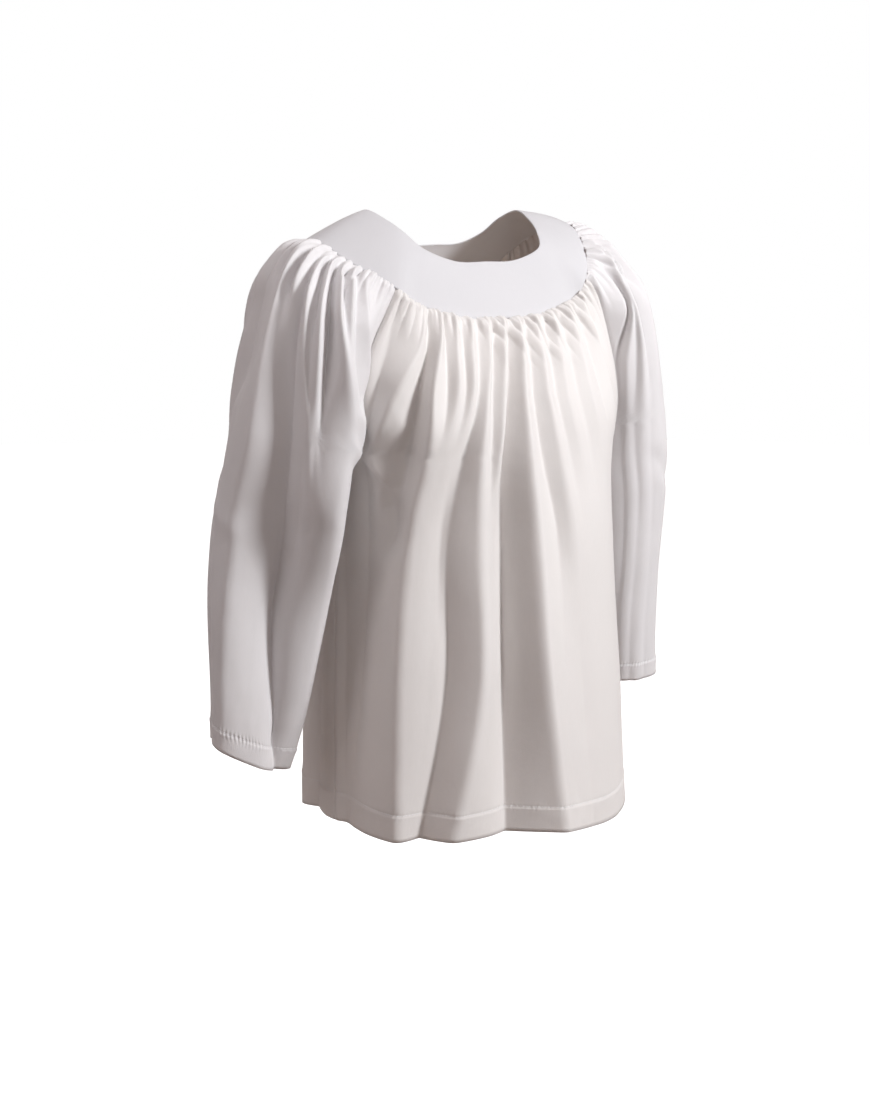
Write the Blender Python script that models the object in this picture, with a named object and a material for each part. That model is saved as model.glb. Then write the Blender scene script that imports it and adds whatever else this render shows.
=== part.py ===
"""Surplice: a white cloth over-garment gathered onto a round yoke, in its worn and hollow pose.

Metres, +Z up, front towards -Y, the wearer's left towards +X.
The origin is midway between the two points where the neck edge crosses the shoulders.
"""
import math

import bpy
import numpy as np

# Cloth and seams
CLOTH = 0.002
HEM_CLOTH = 0.003
MOST_LEAN = 2.0
SEAM_GAP = 0.0003
UNDERARM = 0.30

# Gathers sewn onto the yoke edge: how many, how high, how much of that they have at the seam,
# how far down they grow and how far down they reach
BODY_GATHERS = 32
SLEEVE_GATHERS = 24
GATHER_HEIGHT = 0.0036
GATHER_AT_SEAM = 0.45
GATHER_GROWN = 0.014
GATHER_REACH = 0.075
GATHER_LEAST = 0.55
GATHER_SPREAD = 0.75
GATHER_SHIFT = 1.7
UNEVEN = (12.9898, 78.233, 437.5453)

# Pleats: how much of their height they have at the seam, where they reach it all, and how round they are
PLEAT_AT_SEAM = 0.45
PLEAT_GROWN = 0.03
CREST_ROUNDING = 0.0075
CREST_AT_SEAM = 0.3
CREST_GROWN = 0.5
TROUGH_ROUNDING = 0.0016

# How the cloth hangs unevenly on the wearer
SHOULDER_SWAY = 0.009
SWAY_FROM = 0.11
SWAY_WIDTH = 0.09
SWAY_BELOW = -0.20
SWAY_HEIGHT = 0.17
LEFT_HEM_DROP = 0.015
CHEST_HALF_WIDTH = 0.21
DROP_CURVE = 1.5

# Shares and powers of the curves between the tables: how far down the yoke still shapes the cloth,
# how level the rows stay towards the sides, and how much the yoke's roundness points upwards
YOKE_HOLD = 0.12
SIDE_CURVE = 2.2
YOKE_LIFT = 0.08

# Turns round the yoke where the body panels and sleeves meet, in degrees from the front middle
FRONT_TURN = 60.0
BACK_TURN = 122.0
YOKE_ROUND = 0.004

# Half of the yoke, from front middle to back middle
# columns: turn, neck edge x, y, z, outer edge x, y, z
YOKE_EDGES = [
    (0, 0.000, -0.078, -0.061, 0.000, -0.108, -0.127),
    (20, 0.046, -0.078, -0.060, 0.062, -0.107, -0.125),
    (40, 0.090, -0.073, -0.046, 0.124, -0.101, -0.108),
    (60, 0.106, -0.053, -0.026, 0.152, -0.0965, -0.086),
    (76, 0.114, -0.031, -0.012, 0.183, -0.060, -0.056),
    (90, 0.119, 0.000, 0.000, 0.203, -0.0125, -0.0285),
    (104, 0.111, 0.024, -0.009, 0.196, 0.034, -0.033),
    (122, 0.098, 0.043, -0.027, 0.166, 0.068, -0.060),
    (140, 0.074, 0.058, -0.040, 0.124, 0.088, -0.092),
    (160, 0.038, 0.063, -0.042, 0.062, 0.098, -0.112),
    (180, 0.000, 0.065, -0.043, 0.000, 0.101, -0.117),
]

# Middle line of each body panel; down runs from 0 at the yoke to 1 at the hem
# columns: down, y, z
FRONT_MIDDLE = [
    (0.00, -0.108, -0.127),
    (0.06, -0.132, -0.155),
    (0.14, -0.158, -0.195),
    (0.22, -0.174, -0.238),
    (0.30, -0.182, -0.282),
    (0.45, -0.190, -0.380),
    (0.65, -0.200, -0.510),
    (0.82, -0.209, -0.620),
    (1.00, -0.218, -0.733),
]
BACK_MIDDLE = [
    (0.00, 0.101, -0.117),
    (0.06, 0.114, -0.146),
    (0.14, 0.126, -0.185),
    (0.22, 0.129, -0.230),
    (0.30, 0.128, -0.278),
    (0.45, 0.124, -0.380),
    (0.65, 0.122, -0.505),
    (0.82, 0.122, -0.612),
    (1.00, 0.124, -0.725),
]

# Seams on the wearer's left; the right side mirrors them
# columns: down, x, y, z
FRONT_SEAM = [
    (0.00, 0.152, -0.0965, -0.086),
    (0.06, 0.170, -0.099, -0.115),
    (0.12, 0.188, -0.098, -0.150),
    (0.18, 0.199, -0.098, -0.190),
    (0.24, 0.203, -0.088, -0.235),
    (0.28, 0.201, -0.052, -0.260),
    (0.30, 0.197, -0.012, -0.270),
]
BACK_SEAM = [
    (0.00, 0.166, 0.068, -0.060),
    (0.06, 0.180, 0.078, -0.094),
    (0.12, 0.190, 0.080, -0.135),
    (0.18, 0.197, 0.076, -0.180),
    (0.24, 0.200, 0.058, -0.228),
    (0.28, 0.199, 0.022, -0.260),
    (0.30, 0.197, -0.012, -0.270),
]
SIDE_SEAM = [
    (0.30, 0.197, -0.012, -0.270),
    (0.36, 0.189, -0.015, -0.305),
    (0.45, 0.187, -0.020, -0.365),
    (0.65, 0.195, -0.030, -0.492),
    (0.82, 0.204, -0.038, -0.602),
    (1.00, 0.209, -0.046, -0.716),
]

# Shape of the body sections: how square each is
# columns: down, front squareness, back squareness
BODY_SECTIONS = [
    (0.00, 2.5, 2.4),
    (0.14, 2.6, 2.5),
    (0.30, 2.7, 2.5),
    (0.65, 2.5, 2.4),
    (1.00, 2.3, 2.3),
]

# Sleeve above the underarm: its outermost line and half its size from front to back
# columns: down, x, y, z, half depth
SLEEVE_CAP = [
    (0.00, 0.203, -0.0125, -0.0285, 0.084),
    (0.03, 0.228, -0.018, -0.037, 0.090),
    (0.07, 0.249, -0.024, -0.055, 0.096),
    (0.12, 0.270, -0.030, -0.085, 0.101),
    (0.18, 0.291, -0.033, -0.132, 0.100),
    (0.24, 0.305, -0.034, -0.190, 0.098),
    (0.30, 0.314, -0.034, -0.256, 0.095),
]
# Sleeves below the underarm: rings round a middle line, from their outward and forward half sizes,
# written for the wearer's left; the right sleeve hangs flatter, with its broad side turned forwards
# columns: down, middle x, y, z, outward x, y, z, forward x, y, z
LEFT_SLEEVE_RINGS = [
    (0.30, 0.2555, -0.023, -0.263, 0.0585, -0.011, 0.007, 0.002, -0.095, 0.000),
    (0.38, 0.2630, -0.024, -0.310, 0.0600, -0.008, 0.004, 0.001, -0.092, 0.000),
    (0.50, 0.2730, -0.020, -0.370, 0.0600, -0.003, 0.003, -0.003, -0.086, -0.001),
    (0.65, 0.2850, -0.015, -0.450, 0.0570, 0.000, 0.000, -0.006, -0.076, -0.003),
    (0.82, 0.3000, -0.012, -0.540, 0.0510, -0.003, 0.000, -0.010, -0.063, -0.005),
    (1.00, 0.3150, -0.011, -0.624, 0.0430, -0.006, 0.002, -0.014, -0.052, -0.006),
]
RIGHT_SLEEVE_RINGS = [
    (0.30, 0.2555, -0.023, -0.263, 0.0585, -0.011, 0.007, 0.002, -0.095, 0.000),
    (0.38, 0.2620, -0.025, -0.310, 0.0550, -0.008, 0.004, -0.012, -0.085, -0.002),
    (0.50, 0.2710, -0.019, -0.370, 0.0450, -0.018, 0.003, -0.034, -0.066, -0.004),
    (0.65, 0.2810, -0.013, -0.450, 0.0350, -0.025, 0.000, -0.046, -0.043, -0.008),
    (0.82, 0.2935, -0.011, -0.540, 0.0290, -0.022, 0.000, -0.039, -0.035, -0.012),
    (1.00, 0.3070, -0.011, -0.626, 0.0240, -0.018, 0.002, -0.031, -0.028, -0.016),
]
SLEEVE_SQUARENESS = 2.4
SLEEVE_SQUARED = 0.2

# Pleats. Each row is the line of a crest or a trough, in order across the panel: its place in millimetres
# from the panel's middle line at each of the downs below, then its height in millimetres there.
# Places run towards the wearer's left on the body and from front to back on a sleeve.
PLEAT_DOWNS = (0.0, 0.09, 0.18, 0.29, 0.45, 0.70, 1.0)
FRONT_PLEATS = [
    (-191, -194, -219, -234, -266, -301, -308, 0, 0, 0, -2.5, -4.5, -6, -6.5),
    (-169, -175, -194, -205, -228, -254, -289, 0, 1, 1.5, -2.5, -7.5, -9, -6.5),
    (-121, -143, -177, -189, -204, -234, -261, -2.5, -4, -4.5, -4, 3, 1.5, 2.5),
    (-113, -130, -157, -174, -190, -215, -233, -2.5, -6, -10, -6, 10.5, 11.5, 12),
    (-102, -120, -145, -156, -175, -195, -205, 4, 7.5, 13, 16, 18.5, 22, 21),
    (-92, -108, -124, -146, -167, -185, -202, -4, -4.5, -2.5, 12, 12, 15, 14.5),
    (-80, -96, -113, -137, -159, -174, -198, 4, 6, 8.5, 8, 6.5, 7.5, 8.5),
    (-65, -85, -102, -128, -151, -164, -194, -2.5, -2, 0, 4, 0, 0.5, 2),
    (-56, -76, -94, -119, -143, -153, -190, 5, 7, 8, 0, -6, -6, -4),
    (-41, -64, -85, -110, -135, -143, -186, -4, -1.5, 0, -4.5, -11.5, -13, -10.5),
    (-28, -50, -74, -92, -98, -107, -153, 5, 7, 9.5, 13.5, 15.5, 14.5, 9.5),
    (-15, -40, -63, -77, -85, -94, -130, -5, -7, -4.5, 0.5, 3, 0.5, -0.5),
    (-2, -27, -50, -64, -73, -81, -107, 4, 6, 8.5, 10, -10, -12.5, -11),
    (9, -15, -36, -54, -60, -68, -83, -6, -10.5, -13, -17.5, -23, -26.5, -21),
    (24, 0, -21, -28, -26, -14, 23, 5, 7.5, 11, 15, 20, 24, 20),
    (34, 15, -1, -2, 14, 15, 44, -4, -4, -3, -2, 1.5, 17.5, 14),
    (47, 30, 16, 20, 33, 44, 66, 5, 7.5, 10, 11.5, 12.5, 11.5, 8.5),
    (66, 48, 33, 39, 53, 64, 83, -4, -2, 1, 3.5, 11, 10.5, 7.5),
    (77, 62, 49, 55, 74, 84, 101, 5, 7, 8.5, 8, 10, 9, 6.5),
    (91, 82, 73, 81, 95, 104, 119, -2.5, -1.5, 0, 1.5, 8, 7, 5),
    (105, 99, 92, 102, 116, 124, 137, 5, 7, 8, 7, 7, 6, 4),
    (123, 120, 118, 124, 136, 144, 154, -2.5, -1.5, 0, 4.5, 5, 4.5, 3),
    (137, 138, 142, 147, 157, 163, 172, 5, 7, 7, 3.5, 4, 3.5, 2),
    (145, 151, 159, 169, 178, 183, 190, -2.5, -1.5, 0, 1.5, 2.5, 1.5, 1),
    (152, 164, 179, 198, 230, 239, 250, 0, 0, 0, 0, 0, 0, 0),
]
BACK_PLEATS = [
    (-155, -180, -212, -238, -258, -275, -290, 0, 0, 0, 0, 0, 0, 0),
    (-131, -147, -176, -204, -226, -242, -251, -3, -5.5, -6.5, -7.5, -9.5, -10.5, -9.5),
    (-121, -137, -166, -192, -212, -226, -233, 3.5, 4.5, 5.5, 6.5, 7.5, 8.5, 8.5),
    (-111, -126, -153, -178, -195, -206, -212, -3.5, -4.5, -3.5, -2.5, 0, 2.5, 3.5),
    (-97, -112, -137, -158, -172, -180, -185, 3, 3.5, 4.5, 5, 6, 6.5, 6.5),
    (-91, -105, -129, -149, -161, -168, -174, -2, -2.5, -2.5, -3, -4, -4, -4),
    (-78, -92, -113, -130, -139, -144, -149, 2.5, 4, 4, 3.5, 2.5, 1.5, 1),
    (-69, -82, -101, -115, -123, -127, -132, -4, -6.5, -7.5, -9, -11.5, -13, -11.5),
    (-60, -71, -88, -99, -105, -108, -113, 4, 6, 7.5, 8.5, 9.5, 11, 11),
    (-51, -60, -74, -84, -88, -91, -96, -3, -3.5, -3, -2, 0, 2, 3),
    (-40, -48, -59, -66, -68, -71, -76, 4.5, 6, 7, 7.5, 9.5, 10.5, 10.5),
    (-30, -37, -45, -49, -51, -53, -57, -2.5, -3.5, -3.5, -4, -5, -5, -5),
    (-21, -25, -31, -34, -35, -37, -40, 2.5, 3.5, 4, 3, 2.5, 1.5, 1),
    (-8, -10, -12, -13, -14, -15, -16, -2, -3.5, -4.5, -5, -6.5, -7, -6.5),
    (-1, -2, -2, -2, -2, -2, -2, 4, 6, 7, 8.5, 9.5, 10.5, 10.5),
    (8, 9, 11, 12, 12, 13, 15, -3, -3.5, -3, -2, 0, 2, 3),
    (23, 27, 31, 34, 35, 38, 42, 4, 5.5, 6.5, 7, 9, 9.5, 9.5),
    (30, 35, 41, 44, 46, 50, 56, -2.5, -3, -3, -3.5, -4.5, -4.5, -4.5),
    (43, 50, 58, 63, 67, 73, 82, 2, 3.5, 3.5, 3, 2, 1.5, 0.5),
    (53, 61, 70, 76, 81, 90, 100, -3, -5, -6, -7, -9, -10, -9),
    (65, 75, 86, 93, 100, 112, 123, 4.5, 6.5, 7.5, 9, 10, 11.5, 11.5),
    (75, 85, 98, 106, 116, 130, 142, -3, -3.5, -3, -2, 0, 2, 3),
    (85, 96, 109, 120, 132, 147, 161, 4, 5, 6, 6.5, 8, 8.5, 8.5),
    (96, 108, 123, 136, 151, 168, 182, -2, -3, -3, -3.5, -4.5, -4.5, -4.5),
    (105, 118, 135, 151, 168, 187, 201, 2, 3.5, 3.5, 3, 2, 1.5, 0.5),
    (113, 126, 146, 164, 182, 202, 216, -3, -4.5, -5.5, -6.5, -8.5, -9.5, -8.5),
    (125, 140, 162, 184, 206, 227, 240, 4.5, 6, 7.5, 8.5, 10, 11, 11),
    (136, 152, 179, 205, 229, 249, 261, -3.5, -4, -3.5, -2, 0, 2, 3.5),
    (155, 180, 212, 238, 258, 275, 290, 0, 0, 0, 0, 0, 0, 0),
]
RIGHT_SLEEVE_PLEATS = [
    (-90, -125, -175, -192, -150, -118, -98, 0, 0, 0, 0, -2, -4, -2),
    (-70, -121, -163, -177, -139, -111, -94, 5, 7, 7, 3, 1, -0.5, 0),
    (-63, -107, -135, -162, -128, -104, -89, -5, -2, 0, 6, 4.5, 3.5, 2),
    (-57, -98, -120, -146, -118, -96, -85, 5, 7.5, 10.5, 9, 8, 7, 4),
    (-51, -91, -115, -131, -107, -89, -81, -5, -3.5, 12, 12, 11.5, 10.5, 6),
    (-44, -84, -110, -116, -96, -82, -76, 5, 11, 14, 15, 14.5, 14.5, 8),
    (-40, -73, -96, -94, -87, -70, -74, -7, -13.5, -14, -6, 7, 4.5, 3.5),
    (-34, -66, -87, -87, -77, -57, -72, 5, 7.5, 5.5, -7, -1.5, -5.5, -1),
    (-28, -57, -74, -81, -68, -45, -70, -6, -10, -5.5, -8.5, -9.5, -15.5, -6),
    (-25, -48, -66, -74, -58, -33, -68, 3.5, 8.5, 3, -11, -18, -25, -10.5),
    (-19, -39, -45, -40, -26, -20, -66, -5, -6.5, -19, -30, -34.5, -35, -15),
    (-14, -29, -37, -30, -9, -2, -38, 5, 8.5, -9, -16, -19.5, -20.5, -8),
    (-6, -13, -28, -19, 7, 16, -6, -5, -7.5, 0.5, -2.5, -4.5, -6, -1),
    (2, -10, -20, -9, 23, 34, 26, 5, 8.5, 11, 11.5, 10.5, 8.5, 6),
    (13, 15, 10, 39, 48, 47, 36, -3.5, -8.5, -9, 1, 4.5, 4.5, 3),
    (15, 29, 47, 77, 65, 56, 45, 0, 3, 3, 0.5, 0, 0, 0),
    (17, 34, 60, 94, 78, 58, 47, -3.5, -5.5, -5.5, -3.5, -3, -2, -1),
    (32, 52, 80, 112, 96, 76, 56, 3.5, 7, 8.5, 8.5, 7.5, 6, 4),
    (47, 72, 100, 130, 116, 94, 72, -5, -7, -8.5, -8.5, -8.5, -8, -5),
    (62, 95, 125, 147, 138, 114, 90, 3.5, 7, 7, 5, 3, 3, 2),
    (78, 114, 150, 186, 166, 138, 108, 0, 0, 0, 0, 0, 0, 0),
]
LEFT_SLEEVE_PLEATS = [
    (-90, -125, -175, -205, -190, -165, -130, 0, 0, 0, 0, 0, 0, 0),
    (-79, -123, -171, -163, -163, -145, -124, -4.5, -7, -5, -2, -2, -2, -2),
    (-54, -121, -157, -159, -156, -138, -113, 5.5, 9.5, 8.5, 6, 5, 4.5, 3),
    (-45, -119, -143, -147, -144, -127, -101, -3.5, 2, 0.5, -0.5, -2, -1.5, -1),
    (-32, -116, -134, -135, -135, -112, -90, 4.5, 9.5, 9, 7, 5.5, 4.5, 4),
    (-22, -110, -123, -124, -122, -101, -78, -5.5, -13, -7, -3, -2, -2, -2),
    (4, -80, -103, -110, -105, -76, -48, 4.5, 8.5, 6.5, 4.5, 4, 3.5, 3),
    (6, -12, -10, -12, -14, -18, -20, -3.5, -6, -7, -6.5, -8, -9, -6),
    (8, 8, 20, 24, 22, 14, 8, 3.5, 6, 7, 7.5, 7, 6, 4),
    (10, 26, 48, 58, 54, 44, 34, -4.5, -6, -6, -6.5, -9, -11, -8),
    (12, 44, 74, 90, 86, 72, 58, 3.5, 6, 7, 7.5, 7, 6, 4),
    (24, 64, 98, 118, 112, 96, 78, -4.5, -6, -7, -6.5, -7, -7, -5),
    (40, 82, 120, 146, 136, 116, 94, 3.5, 5, 6, 4.5, 3, 3, 2),
    (70, 110, 160, 190, 175, 150, 120, 0, 0, 0, 0, 0, 0, 0),
]

# Drags and hollows between the pleats, placed in the same way.
# columns: place, down at the top, the middle and the bottom, then width to each side, height and sharpness
FRONT_DRAGS = [
    (-182, 0.075, -199, 0.100, -203, 0.113, 6, 6, -5, 1.6),
    (-145, 0.015, -185, 0.085, -208, 0.133, 9, 9, 5, 2.0),
    (-141, 0.025, -169, 0.062, -194, 0.098, 5, 6, -5, 1.6),
    (-146, 0.040, -170, 0.088, -178, 0.128, 7, 8, -5, 1.8),
    (-174, 0.160, -195, 0.210, -214, 0.255, 12, 14, -9, 1.5),
    (-240, 0.283, -200, 0.296, -160, 0.272, 14, 14, -9, 1.6),
    (-230, 0.222, -194, 0.238, -165, 0.206, 14, 16, 7, 1.8),
    (-155, 0.307, -176, 0.348, -193, 0.375, 8, 10, 7, 1.3),
    (-194, 0.365, -187, 0.420, -222, 0.500, 18, 16, -9, 1.5),
]
BACK_DRAGS = [
    (-205, 0.24, -180, 0.36, -120, 0.44, 16, 18, 4, 1.8),
    (-215, 0.32, -170, 0.46, -90, 0.56, 14, 16, -4, 1.7),
    (205, 0.24, 176, 0.37, 124, 0.46, 16, 18, 4, 1.8),
]
RIGHT_SLEEVE_DRAGS = [
    (-56, 0.888, -48, 0.953, -43, 1.000, 12, 14, -3, 2.0),
    (120, 0.35, 60, 0.44, 0, 0.50, 16, 18, 3, 1.8),
]
LEFT_SLEEVE_DRAGS = [
    (120, 0.36, 60, 0.46, 0, 0.53, 16, 18, 3, 1.8),
    (-130, 0.36, -90, 0.44, -50, 0.48, 14, 16, -3, 1.8),
]

# Rows of a wall from yoke to hem, and the columns it has in the gathered rows and lower down
WALL_ROWS = (
    0.000, 0.018, 0.045, 0.080, 0.120, 0.180, 0.240, 0.275, 0.300, 0.360,
    0.450, 0.550, 0.650, 0.760, 0.870, 0.950, 0.957, 1.000,
)
BODY_TOP_COLUMNS = 96
SLEEVE_TOP_COLUMNS = 66
LOW_COLUMNS = 42
COLUMNS_FOLLOW = 0.10
COLUMN_SPACE = 0.005
SEAM_COLUMN = 0.010
HEM_STARTS = 0.955
YOKE_COLUMNS = 80
YOKE_ROWS = 5
LINE_POINTS = 121
DRAG_POINTS = 17
DRAG_STARTS = 0.25
DRAG_ENDS = 0.3
PROBE = 0.004
DOWN_LENGTH = 0.62
SEAM_CALM = 0.022
UNDERARM_CALM = 0.045
CALM_FROM = 0.17
CALM_GROWS = 0.10
SEAM_PROBE = 0.02
PAST_ALL = 999.0

# Base colours of the cloth
YOKE_WHITE = (0.86, 0.86, 0.88, 1.0)
BODY_WHITE = (0.84, 0.82, 0.81, 1.0)
SLEEVE_WHITE = (0.83, 0.81, 0.80, 1.0)


def follow(table, at):
    """Smooth curve through a table's rows, read at places of its first column."""
    rows = np.asarray(table, float)
    place = rows[:, 0]
    value = rows[:, 1:]
    at = np.clip(np.asarray(at, float), place[0], place[-1])
    slope = np.empty_like(value)
    slope[1:-1] = (value[2:] - value[:-2]) / (place[2:] - place[:-2])[:, None]
    slope[0] = (value[1] - value[0]) / (place[1] - place[0])
    slope[-1] = (value[-1] - value[-2]) / (place[-1] - place[-2])
    low = np.clip(np.searchsorted(place, at, side="right") - 1, 0, len(place) - 2)
    step = (place[low + 1] - place[low])[..., None]
    t = ((at - place[low]) / (place[low + 1] - place[low]))[..., None]
    start = (2 * t**3 - 3 * t**2 + 1) * value[low] + (t**3 - 2 * t**2 + t) * step * slope[low]
    end = (3 * t**2 - 2 * t**3) * value[low + 1] + (t**3 - t**2) * step * slope[low + 1]
    return start + end


def ease(x):
    """0 to 1 with flat ends."""
    x = np.clip(x, 0.0, 1.0)
    return x * x * (3.0 - 2.0 * x)


def unit(v):
    return v / np.maximum(np.linalg.norm(v, axis=-1, keepdims=True), 1e-12)


def uneven(number, kind):
    """A fixed uneven value from 0 to 1 for each gather."""
    return np.modf(np.abs(np.sin(number * UNEVEN[0] + kind * UNEVEN[1])) * UNEVEN[2])[0]


def yoke_table():
    """The half table with one mirrored row past each end, so that the curves stay level there."""
    rows = np.asarray(YOKE_EDGES, float)
    flip = np.array([1, -1, 1, 1, -1, 1, 1], float)
    before = rows[1] * flip
    after = rows[-2] * flip
    before[0] = -rows[1, 0]
    after[0] = 360.0 - rows[-2, 0]
    return np.vstack([before, rows, after])


YOKE_TABLE = yoke_table()


def yoke_point(turn, across):
    """Point on the yoke: turn in degrees, across from 0 at the neck to 1 at the outer edge."""
    turn = (np.asarray(turn, float) + 180.0) % 360.0 - 180.0
    row = follow(YOKE_TABLE, np.abs(turn))
    side = np.where(turn < 0.0, -1.0, 1.0)[..., None] * np.array([1.0, 0.0, 0.0]) + np.array([0.0, 1.0, 1.0])
    neck = row[..., :3] * side
    edge = row[..., 3:] * side
    across = np.asarray(across, float)[..., None]
    lift = unit(np.array([1.0, 1.0, 0.0]) * (edge - neck) + np.array([0.0, 0.0, YOKE_LIFT]))
    return neck + (edge - neck) * across + lift * 4.0 * across * (1.0 - across) * YOKE_ROUND


def yoke_normal(turn, across):
    """Outward direction of the yoke."""
    around = yoke_point(turn + 0.5, across) - yoke_point(turn - 0.5, across)
    away = yoke_point(turn, across + 0.02) - yoke_point(turn, across - 0.02)
    return unit(np.cross(away, around))


def seam_point(which, down):
    """Point on the left seam of the front or back panel."""
    if down < UNDERARM:
        return follow(FRONT_SEAM if which == "front" else BACK_SEAM, down)
    return follow(SIDE_SEAM, down)


def body_arc(which, down, u):
    """Section of a body panel, with u from -1 at the right seam to 1 at the left.

    The section is a squared oval round the side line, cut off where the seam crosses it.
    """
    middle_y, middle_z = follow(FRONT_MIDDLE if which == "front" else BACK_MIDDLE, down)
    seam_x, seam_y, seam_z = seam_point(which, down)
    side_y = follow(SIDE_SEAM, down)[1]
    front_square, back_square = follow(BODY_SECTIONS, down)
    square = front_square if which == "front" else back_square
    depth = middle_y - side_y
    behind = max(0.0, (seam_y - side_y) / depth)
    across = (1.0 - behind**square) ** (1.0 / square)
    half_width = seam_x / across
    wrap = math.atan2(across, behind)
    angle = u * wrap
    cos = np.abs(np.cos(angle))
    sin = np.abs(np.sin(angle))
    reach = (cos**square + sin**square) ** (-1.0 / square)
    x = half_width * np.sin(angle) * reach
    y = side_y + depth * cos * reach
    drop = LEFT_HEM_DROP * (np.maximum(x, 0.0) / CHEST_HALF_WIDTH) ** DROP_CURVE * down**2
    z = middle_z + (seam_z - middle_z) * np.abs(u) ** SIDE_CURVE - drop
    return np.stack([x, y, z], axis=-1)


def body_line(which, down):
    """Line across a body panel, joined smoothly to the yoke's edge at the top."""
    u = np.linspace(-1.0, 1.0, LINE_POINTS)
    line = body_arc(which, down, u)
    keep = 1.0 - ease(down / YOKE_HOLD)
    if keep > 0.0:
        turn = u * FRONT_TURN if which == "front" else 180.0 - u * (180.0 - BACK_TURN)
        edge = yoke_point(turn, np.ones(LINE_POINTS))
        line = line + (edge - body_arc(which, 0.0, u)) * keep
    return line


def cap_arc(down, t):
    """Open section of the left sleeve above the underarm, with t from 1 in front to -1 behind."""
    front = seam_point("front", down)
    back = seam_point("back", down)
    row = follow(SLEEVE_CAP, down)
    outer = row[:3]
    ratio = min(1.0, np.linalg.norm(front - back) / 2.0 / row[3])
    wrap = math.pi - math.asin(ratio)
    out = (outer - (front + back) / 2.0) / (1.0 - math.cos(wrap))
    forward = (front - back) / (2.0 * math.sin(wrap))
    angle = (t * wrap)[:, None]
    return outer - out + out * np.cos(angle) + forward * np.sin(angle)


def ring_arc(which, down, t):
    """Closed section of a sleeve below the underarm, written for the wearer's left."""
    row = follow(RIGHT_SLEEVE_RINGS if which == "right_sleeve" else LEFT_SLEEVE_RINGS, down)
    square = 2.0 + (SLEEVE_SQUARENESS - 2.0) * ease((down - UNDERARM) / SLEEVE_SQUARED)
    angle = (t * math.pi)[:, None]
    cos = np.cos(angle)
    sin = np.sin(angle)
    reach = (np.abs(cos) ** square + np.abs(sin) ** square) ** (-1.0 / square)
    return row[:3] + (row[3:6] * cos + row[6:] * sin) * reach


def sleeve_line(which, down):
    """Line round a sleeve, from the front seam over its outer side to the back seam."""
    t = np.linspace(1.0, -1.0, LINE_POINTS)
    if down >= UNDERARM:
        return ring_arc(which, down, t)
    line = cap_arc(down, t)
    keep = 1.0 - ease(down / YOKE_HOLD)
    if keep > 0.0:
        turn = FRONT_TURN + (1.0 - t) / 2.0 * (BACK_TURN - FRONT_TURN)
        edge = yoke_point(turn, np.ones(LINE_POINTS))
        line = line + (edge - cap_arc(0.0, t)) * keep
    return line


def spread(line, across):
    """Points along a line at even shares of its length, and that length."""
    steps = np.linalg.norm(np.diff(line, axis=0), axis=1)
    run = np.concatenate([[0.0], np.cumsum(steps)])
    where = np.asarray(across) * run[-1]
    points = np.stack([np.interp(where, run, line[:, axis]) for axis in range(3)], axis=-1)
    return points, run[-1]


def base_row(panel, down, across):
    """Unfolded points, outward directions and length of one row of a panel."""
    line_of = sleeve_line if "sleeve" in panel else body_line
    points, length = spread(line_of(panel, down), across)
    above = spread(line_of(panel, max(0.0, down - PROBE)), across)[0]
    below = spread(line_of(panel, min(1.0, down + PROBE)), across)[0]
    ahead = spread(line_of(panel, down), np.clip(across + PROBE, 0.0, 1.0))[0]
    behind = spread(line_of(panel, down), np.clip(across - PROBE, 0.0, 1.0))[0]
    if panel == "back":
        out = np.cross(ahead - behind, below - above)
    else:
        out = np.cross(below - above, ahead - behind)
    return points, unit(out), length


def gather_relief(across, down, count, kind):
    """Height of the gathers at the yoke: each has its own strength and length."""
    cell = np.clip(np.floor(across * count), 0, count - 1)
    phase = across * count - cell
    strength = GATHER_LEAST + GATHER_SPREAD * uneven(cell, kind)
    reach = GATHER_REACH * (0.5 + uneven(cell, kind + GATHER_SHIFT))
    grow = GATHER_AT_SEAM + (1.0 - GATHER_AT_SEAM) * ease(down / GATHER_GROWN)
    return GATHER_HEIGHT * strength * grow * np.sin(math.pi * phase) * (1.0 - ease(down / reach))


def pleat_lines(pleats, down):
    """Places and heights of a panel's crests and troughs along one row."""
    table = np.asarray(pleats, float) / 1000.0
    levels = len(PLEAT_DOWNS)
    row = follow(np.column_stack([PLEAT_DOWNS, table.T[:levels], table.T[levels:]]), down)
    return np.maximum.accumulate(row[:len(table)]), row[len(table):]


def pleat_relief(pleats, place, down):
    """Height of the pleats along one row: straight from line to line, crests rounder than troughs."""
    line, rise = pleat_lines(pleats, down)
    rise = rise * (PLEAT_AT_SEAM + (1.0 - PLEAT_AT_SEAM) * ease(down / PLEAT_GROWN))
    offsets = np.linspace(-1.0, 1.0, 7)
    width = CREST_ROUNDING * (CREST_AT_SEAM + (1.0 - CREST_AT_SEAM) * ease(down / CREST_GROWN))
    crisp = np.mean([np.interp(place + TROUGH_ROUNDING * o, line, rise) for o in offsets], axis=0)
    rounded = np.mean([np.interp(place + width * o, line, rise) for o in offsets], axis=0)
    return np.minimum(crisp, rounded)


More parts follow.
